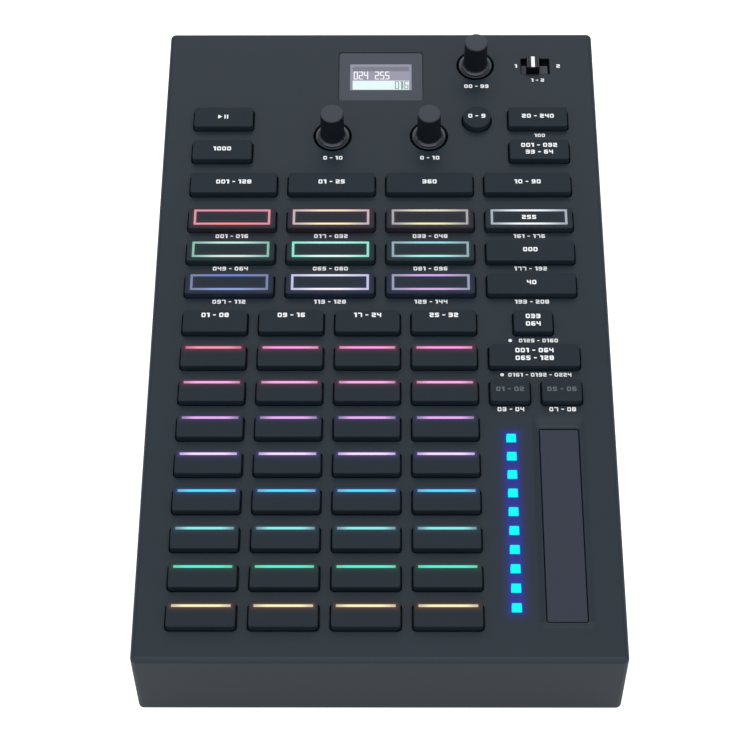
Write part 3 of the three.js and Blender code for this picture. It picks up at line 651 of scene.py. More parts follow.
strip_low, strip_high, strip_size, strip_middle = place_of("touch_strip")
loops = []
for step in range(dish_steps + 1):
    share = step / dish_steps
    drop = share - dish_sway_share * math.sin(math.tau * share)
    back = strip_high.y + strip_gap + (1 - share) * dish_back_slope
    front = strip_low.y - strip_gap - (1 - share) * dish_front_slope
    level = outline(
        case,
        strip_middle.x,
        (back + front) / 2,
        strip_size.x + 2 * strip_gap + (1 - share) * 2 * dish_side_slope,
        back - front,
        dish_side_slope - share * (dish_side_slope - dish_corner),
        deck + drop * (strip_high.z - deck),
    )
    loops.append(list(level.edges))
    if step < dish_steps:
        opened(case, level)
shaped(case, level, [(0, -strip_size.z - strip_gap)])
for above, below in zip(loops, loops[1:]):
    bmesh.ops.bridge_loops(case, edges=above + below)
for middle in screw_middles:
    outside = disc(case, *middle.xy, screw_post, deck_under, case_steps)
    walled(case, outside, [(0, post_foot - deck_under)])
    shaped(case, disc(case, *middle.xy, screw_pilot, post_foot, case_steps), [(0, screw_pilot_depth)])
for level in (post_foot, deck, deck_under):
    fill_flat(case, level)

for y in (case_high.y, case_high.y - case_wall):
    at_level = [face for face in case.faces if abs(face.calc_center_median().y - y) < same_level]
    opened(case, max(at_level, key=lambda face: face.calc_area()))
for node in nodes_named(("dmx_socket_", "usb_socket_")):
    low, high, size, middle = place_of(node)
    hole_width = size.x + 2 * socket_gap
    hole_height, corner, z = size.z + 2 * socket_gap, slot_corner, middle.z
    if node.startswith("dmx"):
        hole_height, corner, z = hole_width, hole_width / 2, high.z - size.x / 2
    before = set(case.verts)
    walled(case, outline(case, 0, 0, hole_width, hole_height, corner, 0, round_steps), [(0, -case_wall)])
    fresh = [vert for vert in case.verts if vert not in before]
    place = Matrix.Translation((middle.x, case_high.y, z)) @ facing_back
    bmesh.ops.transform(case, matrix=place, verts=fresh)
fill_flat(case, case_high.y, axis=1)
fill_flat(case, case_high.y - case_wall, axis=1)


def glow_effect():
    """How strongly light bleeds into a surface beside a lit window: distances are in millimetres."""
    given_numbers = dict.fromkeys(("Half Width", "Half Depth", "Line", "Spread"), "Float")
    tree, given, result = effect_group("light_bleed", {"Place": "Vector", **given_numbers}, {"Mask": "Float"})
    parts = shader_node(tree, "ShaderNodeSeparateXYZ", {0: given["Place"]})
    beyond = [
        maths(tree, "SUBTRACT", maths(tree, "ABSOLUTE", parts[axis]), given[half])
        for axis, half in (("X", "Half Width"), ("Y", "Half Depth"))
    ]
    outside = [maths(tree, "MAXIMUM", one, 0.0) for one in beyond]
    joined = shader_node(tree, "ShaderNodeCombineXYZ", dict(enumerate(outside)))[0]
    length = shader_node(tree, "ShaderNodeVectorMath", {0: joined}, operation="LENGTH")["Value"]
    inside = maths(tree, "MINIMUM", maths(tree, "MAXIMUM", *beyond), 0.0)
    signed = maths(tree, "ADD", length, inside)
    both = {0: given["Line"], 2: signed, 3: maths(tree, "ABSOLUTE", signed)}
    distance = maths(tree, "MAXIMUM", shader_node(tree, "ShaderNodeMix", both, data_type="FLOAT")[0], 0.0)
    ratio = maths(tree, "DIVIDE", distance, given["Spread"])
    connect(tree, result, {"Mask": maths(tree, "EXPONENT", maths(tree, "MULTIPLY", ratio, -1.0))})
    return tree


light_bleed = glow_effect()


def glowing(material, place, colour, strength, window):
    """Lets a finish glow round a lit window at the origin of the place, in millimetres."""
    tree = material.node_tree
    mask = shader_node(tree, "ShaderNodeGroup", {"Place": place, **window}, node_tree=light_bleed)["Mask"]
    glow = mixed(tree, mask, (0, 0, 0, 1), shade(colour))
    connect(tree, tree.nodes["Principled BSDF"], {"Emission Color": glow, "Emission Strength": strength})


def clamped(tree, value, limit):
    """A value kept between a limit and its negative."""
    return shader_node(tree, "ShaderNodeClamp", {"Value": value, "Min": -limit, "Max": limit})[0]


def from_nearest_light(tree):
    """The place of a point from the nearest level light, in millimetres. Along the column it is scaled."""
    place = shader_node(tree, "ShaderNodeTexCoord")["Object"]
    column_middle = (guide_middle.x, (light_places[0] + light_places[-1]) / 2, 0)
    moved = shader_node(tree, "ShaderNodeVectorMath", {0: place, 1: column_middle}, operation="SUBTRACT")[0]
    scaled = shader_node(tree, "ShaderNodeVectorMath", {0: moved, "Scale": millimetres}, operation="SCALE")[0]
    parts = shader_node(tree, "ShaderNodeSeparateXYZ", {0: scaled})
    pitch = light_pitch * millimetres
    reach = (light_count - 1) / 2 * pitch
    inside = clamped(tree, parts["Y"], reach + light_side / 2 * millimetres)
    beyond = maths(tree, "SUBTRACT", parts["Y"], inside)
    cell = maths(tree, "ADD", maths(tree, "SNAP", inside, pitch), pitch / 2)
    off = maths(tree, "SUBTRACT", inside, clamped(tree, cell, reach))
    total = maths(tree, "MULTIPLY_ADD", off, glow_along_share, beyond)
    return shader_node(tree, "ShaderNodeCombineXYZ", {0: parts["X"], 1: total})[0]


case_plastic = moulding("case_plastic", **case_look)
place = from_nearest_light(case_plastic.node_tree)
half = light_side / 2 * millimetres
window = {"Half Width": half, "Half Depth": half * glow_along_share, "Line": 0.0, "Spread": glow_spread}
glowing(case_plastic, place, glow_colour, glow_strength, window)
finished(case, "case_moulding", case_plastic, "case_plastic", "top_case")


# Keys. Each cap is moulded in black silicone-coated plastic with a soft top edge. A lip plate below the deck
# keeps it in. The four pads of a row share one lip plate, and so do the three position keys of a row.
key_look = {
    "colour": "#202a33", "roughness": 0.55, "grain_size": 0.0003, "variation": 0.1, "specular": 0.2,
}
key_edge = 0.00045
key_steps = 8
lip_thickness = 0.0012
bar_width = 0.0242
bar_depth = 0.00115
bar_from_back = 0.00185
ring_width = 0.0345
ring_depth = 0.0085
ring_line = 0.00105
ring_offset = 0.0004
lamp_rise = 0.00004
lamp_sink = 0.0004
lamp_corner = 0.0003
lamp_steps = 4
bar_spread = 0.75
ring_spread = 0.8
bar_fade_share = 0.5
ring_fade_share = 0.2
halo_strength = 0.65
lamp_roughness = 0.4
lamp_body = {"Emission Strength": 1.0, "Base Color": (0.005, 0.005, 0.005, 1), "Specular IOR Level": 0.12}
# Each row of pads, from the back to the front: the middle of its bars, their ends and the halo
pad_lights = (
    ("#faa0e6", "#d896b4", "#8a2450"),
    ("#feb2f0", "#c892b2", "#7a2452"),
    ("#eeb0f8", "#948ca6", "#4c2b78"),
    ("#fce3ff", "#c6b4da", "#5a3c96"),
    ("#46ebfa", "#74b2ce", "#1c4c96"),
    ("#94edee", "#809ca6", "#1b5561"),
    ("#4cf8de", "#64dab6", "#125c3a"),
    ("#fff4c0", "#dac6ae", "#744618"),
)
# The first pad of the first row has bars of its own
first_pad_light = ("#f69aab", "#d07c92")
# The halo of each row of rings, and each ring: its name, the middle of its back and front lines, and its
# ends
ring_lights = {
    "position_row_1": ("#7a2034", (
        ("position_1", "#ea8ca2", "#ff9292", "#de94a8"),
        ("position_2", "#f5e5bf", "#fdeec3", "#c4b6bc"),
        ("position_3", "#d8e6c4", "#ecefb8", "#a0aeb0"),
    )),
    "position_row_2": ("#1c5240", (
        ("position_4", "#c6eee2", "#deeee8", "#8ebcae"),
        ("position_5", "#b2faf2", "#e4fffb", "#92e8d4"),
        ("position_6", "#98deec", "#aef4f2", "#96acb8"),
    )),
    "position_row_3": ("#263a78", (
        ("position_7", "#6e86d2", "#92a0dc", "#7e86a0"),
        ("position_8", "#ece6f6", "#fff5ff", "#ccc4e4"),
        ("position_9", "#d8aaec", "#e0b0e6", "#a09eb4"),
    )),
    "white_button": ("#363d46", (("white_button", "#f3f7ff", "#f8f9fb", "#acb2bc"),)),
}


def mark_places(bm, centres):
    """Gives every point its place on its own key, in millimetres from the key's middle."""
    layer = bm.loops.layers.uv.new("place_on_key")
    for face in bm.faces:
        middle = face.calc_center_median().xy
        nearest = min((Vector(centre) for centre in centres), key=lambda centre: (centre - middle).length)
        for loop in face.loops:
            loop[layer].uv = (loop.vert.co.xy - nearest) * millimetres


def key_plastic(name, halo, middle, window):
    """The caps' dark plastic, which glows a little round its lit window."""
    material = moulding(name, **key_look)
    tree = material.node_tree
    place = shader_node(tree, "ShaderNodeUVMap", uv_map="place_on_key")["UV"]
    moved = shader_node(tree, "ShaderNodeMapping", {"Vector": place, "Location": (0, -middle, 0)})[0]
    glowing(material, moved, halo, halo_strength, window)
    return material


def lamp_plastic(name, back, front, ends, reach, fade_share):
    """A clear window lit from behind: its light fades from the middle of the key to the ends."""
    material, tree, shader = new_finish(name)
    place = shader_node(tree, "ShaderNodeUVMap", uv_map="place_on_key")["UV"]
    parts = shader_node(tree, "ShaderNodeSeparateXYZ", {0: place})
    fading = {"Value": maths(tree, "ABSOLUTE", parts["X"]), "From Min": reach * fade_share, "From Max": reach}
    fade = shader_node(tree, "ShaderNodeMapRange", fading, interpolation_type="SMOOTHSTEP")["Result"]
    side = maths(tree, "GREATER_THAN", parts["Y"], 0.0)
    blended = mixed(tree, fade, mixed(tree, side, shade(front), shade(back)), shade(ends))
    connect(tree, shader, {"Emission Color": blended, "Roughness": lamp_roughness, **lamp_body})
    return material


def key_caps(centres, key_width, this_depth, corner, low, high):
    """The lip plate and the caps of one moulding, as one closed body."""
    bm = bmesh.new()
    lip_top = low.z + lip_thickness
    is_round = key_width == this_depth
    steps = round_steps if is_round else key_steps
    left, y = centres[0]
    right = centres[-1][0]
    lip_size = (right - left + key_width + 2 * key_lip, this_depth + 2 * key_lip)
    lip_corner = corner + key_lip if is_round else key_corner
    lip = outline(bm, (left + right) / 2, y, *lip_size, lip_corner, low.z, steps)
    walled(bm, lip, [(0, lip_thickness)])
    fill_flat(bm, low.z)
    for x, y in centres:
        cap = outline(bm, x, y, key_width, this_depth, corner, lip_top, steps)
        shaped(bm, cap, [(0, high.z - lip_top - key_edge), *rounding(key_edge, 1)])
    fill_flat(bm, lip_top)
    mark_places(bm, centres)
    return bm


def lamp_bar(centres, key_top):
    """The lit bars of a row: one thin window near the back edge of every pad."""
    bm = bmesh.new()
    foot = key_top - lamp_sink
    for x, y in centres:
        bar_y = y + key_depth / 2 - bar_from_back
        bar = outline(bm, x, bar_y, bar_width, bar_depth, lamp_corner, foot, lamp_steps)
        shaped(bm, bar, [(0, lamp_sink + lamp_rise)])
    fill_flat(bm, foot)
    mark_places(bm, centres)
    return bm


def lamp_ring(centre, key_top):
    """A lit frame that runs round the top of a key."""
    bm = bmesh.new()
    x, y = centre
    foot = key_top - lamp_sink
    ring = outline(bm, x, y + ring_offset, ring_width, ring_depth, lamp_corner, foot, lamp_steps)
    walled(bm, ring, [(0, lamp_sink + lamp_rise), (ring_line, 0), (0, -lamp_sink - lamp_rise)])
    fill_flat(bm, foot)
    mark_places(bm, [centre])
    return bm


plain_key_plastic = moulding("key_plastic", **key_look)
bar_middle = (key_depth / 2 - bar_from_back) * millimetres
bar_window = {
    "Half Width": bar_width / 2 * millimetres,
    "Half Depth": bar_depth / 2 * millimetres,
    "Line": 0.0,
    "Spread": bar_spread,
}
ring_window = {
    "Half Width": (ring_width - ring_line) / 2 * millimetres,
    "Half Depth": (ring_depth - ring_line) / 2 * millimetres,
    "Line": 1.0,
    "Spread": ring_spread,
}
for node, key_sizes in key_nodes.items():
    low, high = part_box(node)
    centres = key_sizes[0]
    name, finish = f"{node}_caps", plain_key_plastic
    if node.startswith("pad_row_"):
        core, ends, halo = pad_lights[int(node[-1]) - 1]
        bars = [(node, centres, core, ends)]
        if node == "pad_row_1":
            bars = [("pad_row_1_first", centres[:1], *first_pad_light), (node, centres[1:], core, ends)]
        for bar, some, core, ends in bars:
            lit = lamp_plastic(f"{bar}_light", core, core, ends, bar_window["Half Width"], bar_fade_share)
            finished(lamp_bar(some, high.z), f"{bar}_light", lit, "light_plastic", body=node)
        finish = key_plastic(f"{node}_plastic", halo, bar_middle, bar_window)
    elif node in ring_lights:
        halo, rings = ring_lights[node]
        for centre, (ring, *colours) in zip(centres, rings):
            lit = lamp_plastic(f"{ring}_light", *colours, ring_width / 2 * millimetres, ring_fade_share)
            finished(lamp_ring(centre, high.z), f"{ring}_light", lit, "light_plastic", body=node)
        finish = key_plastic(f"{node}_plastic", halo, ring_offset * millimetres, ring_window)
    else:
        name = f"{node}_cap"
    finished(key_caps(*key_sizes, low, high), name, finish, "key_plastic", node, body=node)


# Knobs. A grey glossy skirt curves up to a tall, slightly tapered stem in a soft black sleeve, and a grey
# cap with a round edge closes the top. A black hub below the skirt is pushed onto the encoder's shaft,
# moulded with it.
skirt_edge = 0.0003
skirt_rise = 0.0003
skirt_thickness = 0.0008
skirt_brim = 0.0008
brim_rise = 0.0001
sweep_rise = 0.0015
hub_inset = 0.0012
sweep_steps = 8
sleeve_flare = 0.00005
flare_rise = 0.0004
skirt_shoulder = 0.0023
stem_taper = 0.0002
cap_height = 0.0009
cap_edge = 0.0007
cap_inset = 0.0001
shaft_radius = 0.003
knob_floor_height = 0.0475
knob_steps = 64
skirt_look = {
    "colour": "#1a1d23", "roughness": 0.2, "grain_size": 0.0006, "variation": 0.05, "bump": 0.000002,
    "specular": 1.0,
}
skirt_shine_colour = "#e2e8fa"
sleeve_look = {
    "colour": "#13181f", "roughness": 0.7, "grain_size": 0.0005, "variation": 0.5, "bump": 0.00003,
    "specular": 0.15,
}
cap_look = {"colour": "#363d47", "roughness": 0.4, "variation": 0.1, "specular": 0.4}
quarter_turns = [step / sweep_steps * math.pi / 2 for step in range(sweep_steps + 1)]


def quarter_sweep(inner, outer, low_level, rise):
    """Points of a hollow curve that runs from flat at its outer end to upright at its inner end."""
    return [
        (inner + (outer - inner) * (1 - math.sin(turn)), low_level + rise * (1 - math.cos(turn)))
        for turn in quarter_turns
    ]


def quarter_round(radius, top, edge):
    """Points of a round edge, from the upright side to the flat top."""
    return [
        (radius - edge * (1 - math.cos(turn)), top - edge * (1 - math.sin(turn))) for turn in quarter_turns
    ]


skirt_plastic = moulding("skirt_plastic", **skirt_look)
tree = skirt_plastic.node_tree
connect(tree, tree.nodes["Principled BSDF"], {"Specular Tint": shade(skirt_shine_colour)})
sleeve_rubber = moulding("sleeve_rubber", **sleeve_look)
cap_plastic = moulding("cap_plastic", **cap_look)
for node in ("select_knob", "speed_knob", "color_knob"):
    low, high, size, middle = place_of(node)
    radius = size.x / 2
    hub_radius = radius - hub_inset
    stem_radius = radius - skirt_shoulder
    stem_top_radius = stem_radius - stem_taper
    foot_radius = stem_radius + sleeve_flare
    cap_radius = stem_top_radius - cap_inset
    skirt_top = deck + skirt_rise
    skirt_foot = skirt_top - skirt_thickness
    brim_top = skirt_top + brim_rise
    sleeve_foot = brim_top + sweep_rise
    cap_foot = high.z - cap_height
    skirt = [
        (0, skirt_foot),
        (radius, skirt_foot),
        *quarter_round(radius, skirt_top, skirt_edge),
        *quarter_sweep(foot_radius, radius - skirt_brim, brim_top, sweep_rise),
        (0, sleeve_foot),
    ]
    hub = [
        (0, low.z),
        (shaft_radius, low.z),
        (shaft_radius, knob_floor_height),
        (hub_radius, knob_floor_height),
        (hub_radius, skirt_foot),
        (0, skirt_foot),
    ]
    sleeve = [
        (0, skirt_top),
        (foot_radius, skirt_top),
        *quarter_sweep(stem_radius, foot_radius, sleeve_foot, flare_rise),
        (stem_top_radius, cap_foot - cap_inset),
        (cap_radius, cap_foot),
        (0, cap_foot),
    ]
    cap = [
        (0, cap_foot - cap_edge),
        (cap_radius, cap_foot - cap_edge),
        *quarter_round(cap_radius, high.z, cap_edge),
        (0, high.z),
    ]
    for part, profile, finish, nodes in (
        ("skirt", skirt, skirt_plastic, [node]),
        ("hub", hub, sleeve_rubber, []),
        ("sleeve", sleeve, sleeve_rubber, []),
        ("cap", cap, cap_plastic, []),
    ):
        turned_part = turned(profile, middle, knob_steps)
        finished(turned_part, f"{node}_{part}", finish, "knob_plastic", *nodes, body=node)


# Display. A smoked acrylic window is glued into a rebate of the deck. Behind it a small screen shows two
# lines of plain figures: light ones on a grey-violet field, and dark ones on a bright bar.
window_edge = 0.0002
window_look = {
    "colour": "#3c424f", "roughness": 0.32, "grain_size": 0.002, "variation": 0.04, "bump": 0.0,
}
screen_width = 0.029
screen_height = 0.0158
screen_y_offset = -0.00043
screen_level = 0.00002
screen_thickness = 0.0001
screen_corner = 0.00012
screen_frame = 0.0012
screen_frame_top = 0.0015
bar_bottom = 0.0002
bar_height = 0.0055
band_height = 0.0058
screen_text_height = 0.0048
screen_roughness = 0.35
shimmer_scale = 900.0
shimmer_range = {"To Min": 0.94, "To Max": 1.04}

pane_top = window_high.z - 4 * screen_thickness
moves = [(0, pane_top - window_low.z - window_edge), *rounding(window_edge, 1)]
window = block(0, window_middle.y, *window_size.xy, window_corner, window_low.z, moves)
window_plastic = moulding("window_plastic", **window_look)
finished(window, "display_pane", window_plastic, "window_plastic", "display_window")


def lit_surface(name, colour):
    """A surface that gives off its own even light."""
    material, tree, shader = new_finish(name)
    shimmer = noise(tree, shimmer_scale, 1.0)
    level = shader_node(tree, "ShaderNodeMapRange", {"Value": shimmer, **shimmer_range})["Result"]
    coloured = mixed(tree, 1.0, shade(colour), level, "MULTIPLY")
    connect(tree, shader, {"Emission Color": coloured, "Roughness": screen_roughness, **lamp_body})
    return material


screen_bottom = window_middle.y + screen_y_offset - screen_height / 2
bar_y = screen_bottom + bar_bottom + bar_height / 2
band_y = bar_y + (bar_height + band_height) / 2
inner_width = screen_width - 2 * screen_frame
level = pane_top + screen_thickness
for name, colour, bottom, height, width in (
    ("screen_border", "#9597a5", 0, screen_height, screen_width),
    ("screen_field", "#7f7f8d", bar_bottom, screen_height - bar_bottom - screen_frame_top, inner_width),
    ("screen_band", "#9d9baf", bar_bottom, bar_height + band_height, inner_width),
    ("screen_bar", "#eafbfc", bar_bottom, bar_height, inner_width),
):
    y = screen_bottom + bottom + height / 2
    foot = level - screen_thickness
    tile = block(0, y, width, height, screen_corner, foot, [(0, screen_thickness)], small_steps)
    finished(tile, name, lit_surface(name, colour), "light_plastic")
    level += screen_level


# Touch strip. A flat bar of matt grey-violet plastic that lies at the bottom of the dish, with a fine gap
# round it. It is a little wider than its place in the frame, so that the gap looks as fine as it is.
strip_edge = 0.0002
strip_corner = 0.0007
strip_spread = 0.00025
strip_look = {"colour": "#323846", "roughness": 0.5, "variation": 0.08, "specular": 0.22}

moves = [(0, strip_size.z - strip_edge), *rounding(strip_edge, 1)]
strip = block(
    strip_middle.x, strip_middle.y - strip_spread / 2, strip_size.x + 2 * strip_spread,
    strip_size.y + strip_spread, strip_corner, strip_low.z, moves,
)
strip_plastic = moulding("strip_plastic", **strip_look)
finished(strip, "touch_strip_bar", strip_plastic, "strip_plastic", "touch_strip")


# Level lights. Ten square posts of one clear light guide come up flush with the deck and shine cyan. The
# guide's bar joins them below the deck.
light_colour = "#00fff3"
light_edge_colour = "#00f4f6"
light_corner = 0.00035
guide_bar_thickness = 0.0015

level_light = lamp_plastic(
    "level_light", light_colour, light_colour, light_edge_colour, light_side / 2 * millimetres, bar_fade_share
)
guide = bmesh.new()
guide_bar_top = guide_low.z + guide_bar_thickness
bar = outline(guide, *guide_middle.xy, *guide_size.xy, light_corner, guide_low.z, small_steps)
walled(guide, bar, [(0, guide_bar_thickness)])
for y in light_places:
    light = outline(guide, guide_middle.x, y, light_side, light_side, light_corner, guide_bar_top, lamp_steps)
    shaped(guide, light, [(0, guide_high.z - guide_bar_top)])
fill_flat(guide, guide_low.z)
fill_flat(guide, guide_bar_top)
mark_places(guide, [(guide_middle.x, y) for y in light_places])
finished(guide, "level_lights", level_light, "light_plastic", "level_light_guide")


# Slide switch. A black slider with ridged sides and a white line on its top runs in a slot of the deck. A
# grey plate below it closes the front of the slot; it is painted lighter than the deck, as painted light
# against the shade in the slot. A near-black sheet over the slot's walls, and the same near-black on the
# switch body below, are painted shade for the dark of the deep slot.
slider_edge = 0.0003
slider_gap = 0.0003
slider_steps = 4
slider_line = 0.0017
slider_ridge = 0.0006
ridge_places = (0.00145, 0.0024)
slider_relief = 0.00012
neck_width = 0.0036
neck_depth = 0.0015
neck_back_inset = 0.0001
shutter_depth = 0.0063
shutter_thickness = 0.00015
shutter_end_gap = 0.0009
shade_sheet_wall = 0.0003
shade_sheet_drop = 0.0001
slider_look = {"colour": "#0b0c12", "roughness": 0.5, "specular": 0.15}
ridge_look = {"colour": "#42454f", "roughness": 0.5, "specular": 0.25}
line_look = {"colour": "#f4f4f2", "roughness": 0.5, "variation": 0.03}
# The grey plate is painted lighter than the deck: painted light against the shade in the slot
lightened_shutter_look = {"colour": "#3c444f", "roughness": 0.4}
# Near-black painted shade for the slot's walls and the switch body, standing for the dark of the deep slot
shade_sheet_look = {"colour": "#050608", "roughness": 0.8, "specular": 0.1}

slider_plastic = moulding("slider_plastic", **slider_look)
ridge_plastic = moulding("ridge_plastic", **ridge_look)
line_paint = moulding("line_paint", **line_look)
lightened_shutter_plastic = moulding("lightened_shutter_plastic", **lightened_shutter_look)
shade_sheet_plastic = moulding("shade_sheet_plastic", **shade_sheet_look)
# The switch body also takes the near-black painted shade
refinish("usb_switch_body", shade_sheet_plastic)
slider_low, slider_high, slider_size, slider_middle = place_of("usb_switch_slider")
grip_bottom = switch_high.z + slider_gap
grip_top = slider_high.z - slider_relief
slider = bmesh.new()
grip_place = (*slider_middle.xy, *slider_size.xy, slider_edge, grip_bottom)
moves = [(0, grip_top - grip_bottom - slider_edge), *rounding(slider_edge, 1)]
walled(slider, outline(slider, *grip_place, slider_steps), moves)
neck_y = slider_high.y - neck_back_inset - neck_depth / 2
neck_place = (slider_middle.x, neck_y, neck_width, neck_depth, slider_edge, slider_low.z)
walled(slider, outline(slider, *neck_place, slider_steps), [(0, grip_bottom - slider_low.z)])
for level_of_part in (slider_low.z, grip_bottom, grip_top):
    fill_flat(slider, level_of_part)
finished(
    slider, "usb_switch_grip", slider_plastic, "switch_plastic", "usb_switch_slider", body="usb_switch_slider"
)
raised = [("usb_switch_line", line_paint, 0, slider_line)]
for side, label in ((-1, "left"), (1, "right")):
    for order, from_middle in enumerate(ridge_places, 1):
        raised.append((f"usb_switch_ridge_{label}_{order}", ridge_plastic, side * from_middle, slider_ridge))
for name, finish, x, width in raised:
    foot = grip_top - slider_edge
    raised_size = (width, slider_size.y - 2 * slider_edge, slider_edge / 2)
    moves = [(0, slider_high.z - foot)]
    bar = block(slider_middle.x + x, slider_middle.y, *raised_size, foot, moves, small_steps)
    finished(bar, name, finish, "switch_plastic", body="usb_switch_slider")
# The grey plate, in its lighter colour of painted light
x = switch_middle.x + (shade_sheet_wall - shutter_end_gap) / 2
y = switch_middle.y - slot_depth / 2 + shade_sheet_wall + shutter_depth / 2
width = slot_width - shade_sheet_wall - shutter_end_gap
moves = [(0, shutter_thickness)]
shutter = block(x, y, width, shutter_depth, slot_corner / 2, switch_high.z, moves, small_steps)
finished(shutter, "usb_switch_shutter", lightened_shutter_plastic, "switch_plastic")
# A near-black sheet of painted shade over the slot's walls
shade_sheet = bmesh.new()
slot_place = (*switch_middle.xy, slot_width, slot_depth, slot_corner, switch_high.z)
rise = deck - shade_sheet_drop - rim - switch_high.z
walled(shade_sheet, outline(shade_sheet, *slot_place, small_steps), [(0, rise), (shade_sheet_wall, 0), (0, -rise)])
fill_flat(shade_sheet, switch_high.z)
finished(shade_sheet, "usb_switch_shade_sheet", shade_sheet_plastic, "switch_plastic")


# Printed figures. White pad print on the deck and on the caps says which key is which, in plain figures and
# the common signs for play and pause. Each figure is drawn in strokes of one width on three columns and five
# rows.
ink_thickness = 0.00004
key_print = 0.0023
caption_print = 0.0021
small_print = 0.0019
line_space = 0.0040
caption_drop = 0.0024
knob_caption_drop = 0.0128
knob_caption_shift = 0.0003
key_print_lift = 0.0004
bank_print_lift = 0.003
channels_in_key = 16
play_bar = 0.0006
play_reach = 0.0019
play_place = -0.0016
pause_places = (0.0006, 0.0018)
# Each line of print on the deck that belongs to no key or knob: its place and height
deck_captions = (
    ("100", 0.0737, 0.104, small_print),
    ("0129 - 0160", 0.0691, -0.0111, small_print),
    ("0161 - 0192 - 0224", 0.0691, -0.029, small_print),
    ("03 - 04", 0.0561, -0.0467, caption_print),
    ("07 - 08", 0.0783, -0.0467, caption_print),
    ("1", 0.0639, 0.1461, caption_print),
    ("2", 0.0839, 0.1461, caption_print),
    ("1 - 2", 0.0739, 0.1374, small_print),
)
dot_radius = 0.0008
dot_steps = 4
dot_places = ((0.0568, -0.0111), (0.0528, -0.029))
screen_line_place = (-0.0044, 0.00025)
screen_bar_place = (0.0098, 0)
# Shares of a figure's height, and of its stroke for the rounding of outer and inner corners
printed_style = {"stroke_share": 0.235, "width_share": 0.8, "space_share": 0.2}
screen_style = {"stroke_share": 0.1, "width_share": 0.417, "space_share": 0.09}
corner_shares = {"bend": 0.9, "end": 0.2, "inner": 0.35}
corner_segments = {"bend": 4, "end": 1, "inner": 2}
ink_look = {"roughness": 0.55, "variation": 0.03, "bump": 0.0}
figures = {
    "0": "111 101 101 101 111",
    "1": "11 01 01 01 01",
    "2": "111 001 111 100 111",
    "3": "111 001 111 001 111",
    "4": "101 101 111 001 001",
    "5": "111 100 111 001 111",
    "6": "111 100 111 101 111",
    "7": "111 001 001 001 001",
    "8": "111 101 111 101 111",
    "9": "111 101 111 001 111",
    "-": "00 00 11 00 00",
    " ": "0 0 0 0 0",
}
key_lines = {
    "shift_button": ["1000"],
    "tap_tempo_button": ["20 - 240"],
    "override_button": ["001 - 032", "33 - 64"],
    "movement_button": ["001 - 128"],
    "strobe_button": ["01 - 25"],
    "hue_button": ["360"],
    "smoke_button": ["10 - 90"],
    "white_button": ["255"],
    "black_button": ["000"],
    "uv_button": ["40"],
    "auto_loop_button": ["033", "064"],
    "intensity_button": ["001 - 064", "065 - 128"],
    "back_button": ["0 - 9"],
}

white_ink = moulding("white_ink", "#f4f5f7", **ink_look)
dim_ink = moulding("dim_ink", "#5c6068", **ink_look)
screen_ink = lit_surface("screen_ink", "#ffffff")
screen_dark_ink = lit_surface("screen_dark_ink", "#94a2a2")


def line_places(stroke, space, count):
    """The edges of columns or rows that are by turns a stroke and a space wide."""
    places = [0.0]
    for order in range(count):
        places.append(places[-1] + (space if order % 2 else stroke))
    return places


def is_bend(filled, cell, spot):
    """Whether a corner of a cell lies outside a bend, where the stroke goes on both across and down."""
    column, row = cell
    across = 1 if spot[0] > column else -1
    down = 1 if spot[1] > row else -1
    outside = {(column + across, row), (column, row + down)}
    inside = {(column - across, row), (column, row - down)}
    return inside <= filled and not outside & filled


def add_figures(bm, text, x, y, z, height, stroke_share, width_share, space_share):
    """Adds figures of a given height, centred on a point of the surface at z."""
    stroke = stroke_share * height
    rows = line_places(stroke, (height - 3 * stroke) / 2, 5)
    fresh = []
    bends = set()
    left = 0.0
    for letter in text:
        lines = figures[letter].split()
        count = len(lines[0])
        columns = line_places(stroke, width_share * height - 2 * stroke, count)
        cells = [(column, row) for row in range(5) for column in range(count) if lines[row][column] == "1"]
        corners = {}
        for column, row in cells:
            spots = [(column, row), (column, row + 1), (column + 1, row + 1), (column + 1, row)]
            for spot in spots:
                if spot not in corners:
                    corners[spot] = bm.verts.new((left + columns[spot[0]], height / 2 - rows[spot[1]], 0))
                if letter != "1" and is_bend(set(cells), (column, row), spot):
                    bends.add(corners[spot])
            fresh.append(bm.faces.new([corners[spot] for spot in spots]))
        left += columns[-1] + space_share * height
    middle = (left - space_share * height) / 2
    body = bmesh.ops.extrude_face_region(bm, geom=fresh)["geom"]
    tops = [item for item in body if isinstance(item, bmesh.types.BMVert)]
    bmesh.ops.translate(bm, verts=tops, vec=(0, 0, ink_thickness))
    both = {vert for face in fresh for vert in face.verts} | set(tops)
    uprights = {
        edge for vert in tops for edge in vert.link_edges
        if abs(edge.verts[0].co.z - edge.verts[1].co.z) > ink_thickness / 2 and edge.calc_face_angle(0) > 1
    }
    bmesh.ops.recalc_face_normals(bm, faces=bm.faces)
    kinds = {"bend": [], "end": [], "inner": []}
    for edge in uprights:
        outer_kind = "bend" if bends & set(edge.verts) else "end"
        kinds[outer_kind if edge.is_convex else "inner"].append(edge)
    for kind, edges in kinds.items():
        edges = [edge for edge in edges if edge.is_valid]
        both |= set(bevelled(bm, edges, corner_shares[kind] * stroke, corner_segments[kind]))
    both = [vert for vert in both if vert.is_valid]
    bmesh.ops.translate(bm, verts=both, vec=(x - middle, y, z))


def printed(name, texts, z, material=white_ink, style=printed_style, body="root"):
    """One film of print: each text with its centre and height."""
    bm = bmesh.new()
    for text, x, y, height in texts:
        add_figures(bm, text, x, y, z, height, **style)
    finished(bm, name, material, "light_plastic", body=body)


def key_text(node, lines, material=white_ink, lift=key_print_lift):
    """Print on a key, in one line or two, a little behind its middle."""
    (x, y), = key_nodes[node][0]
    first = y + lift + line_space / 2 * (len(lines) - 1)
    texts = [(line, x, first - order * line_space, key_print) for order, line in enumerate(lines)]
    printed(f"{node}_print", texts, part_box(node)[1].z, material, body=node)


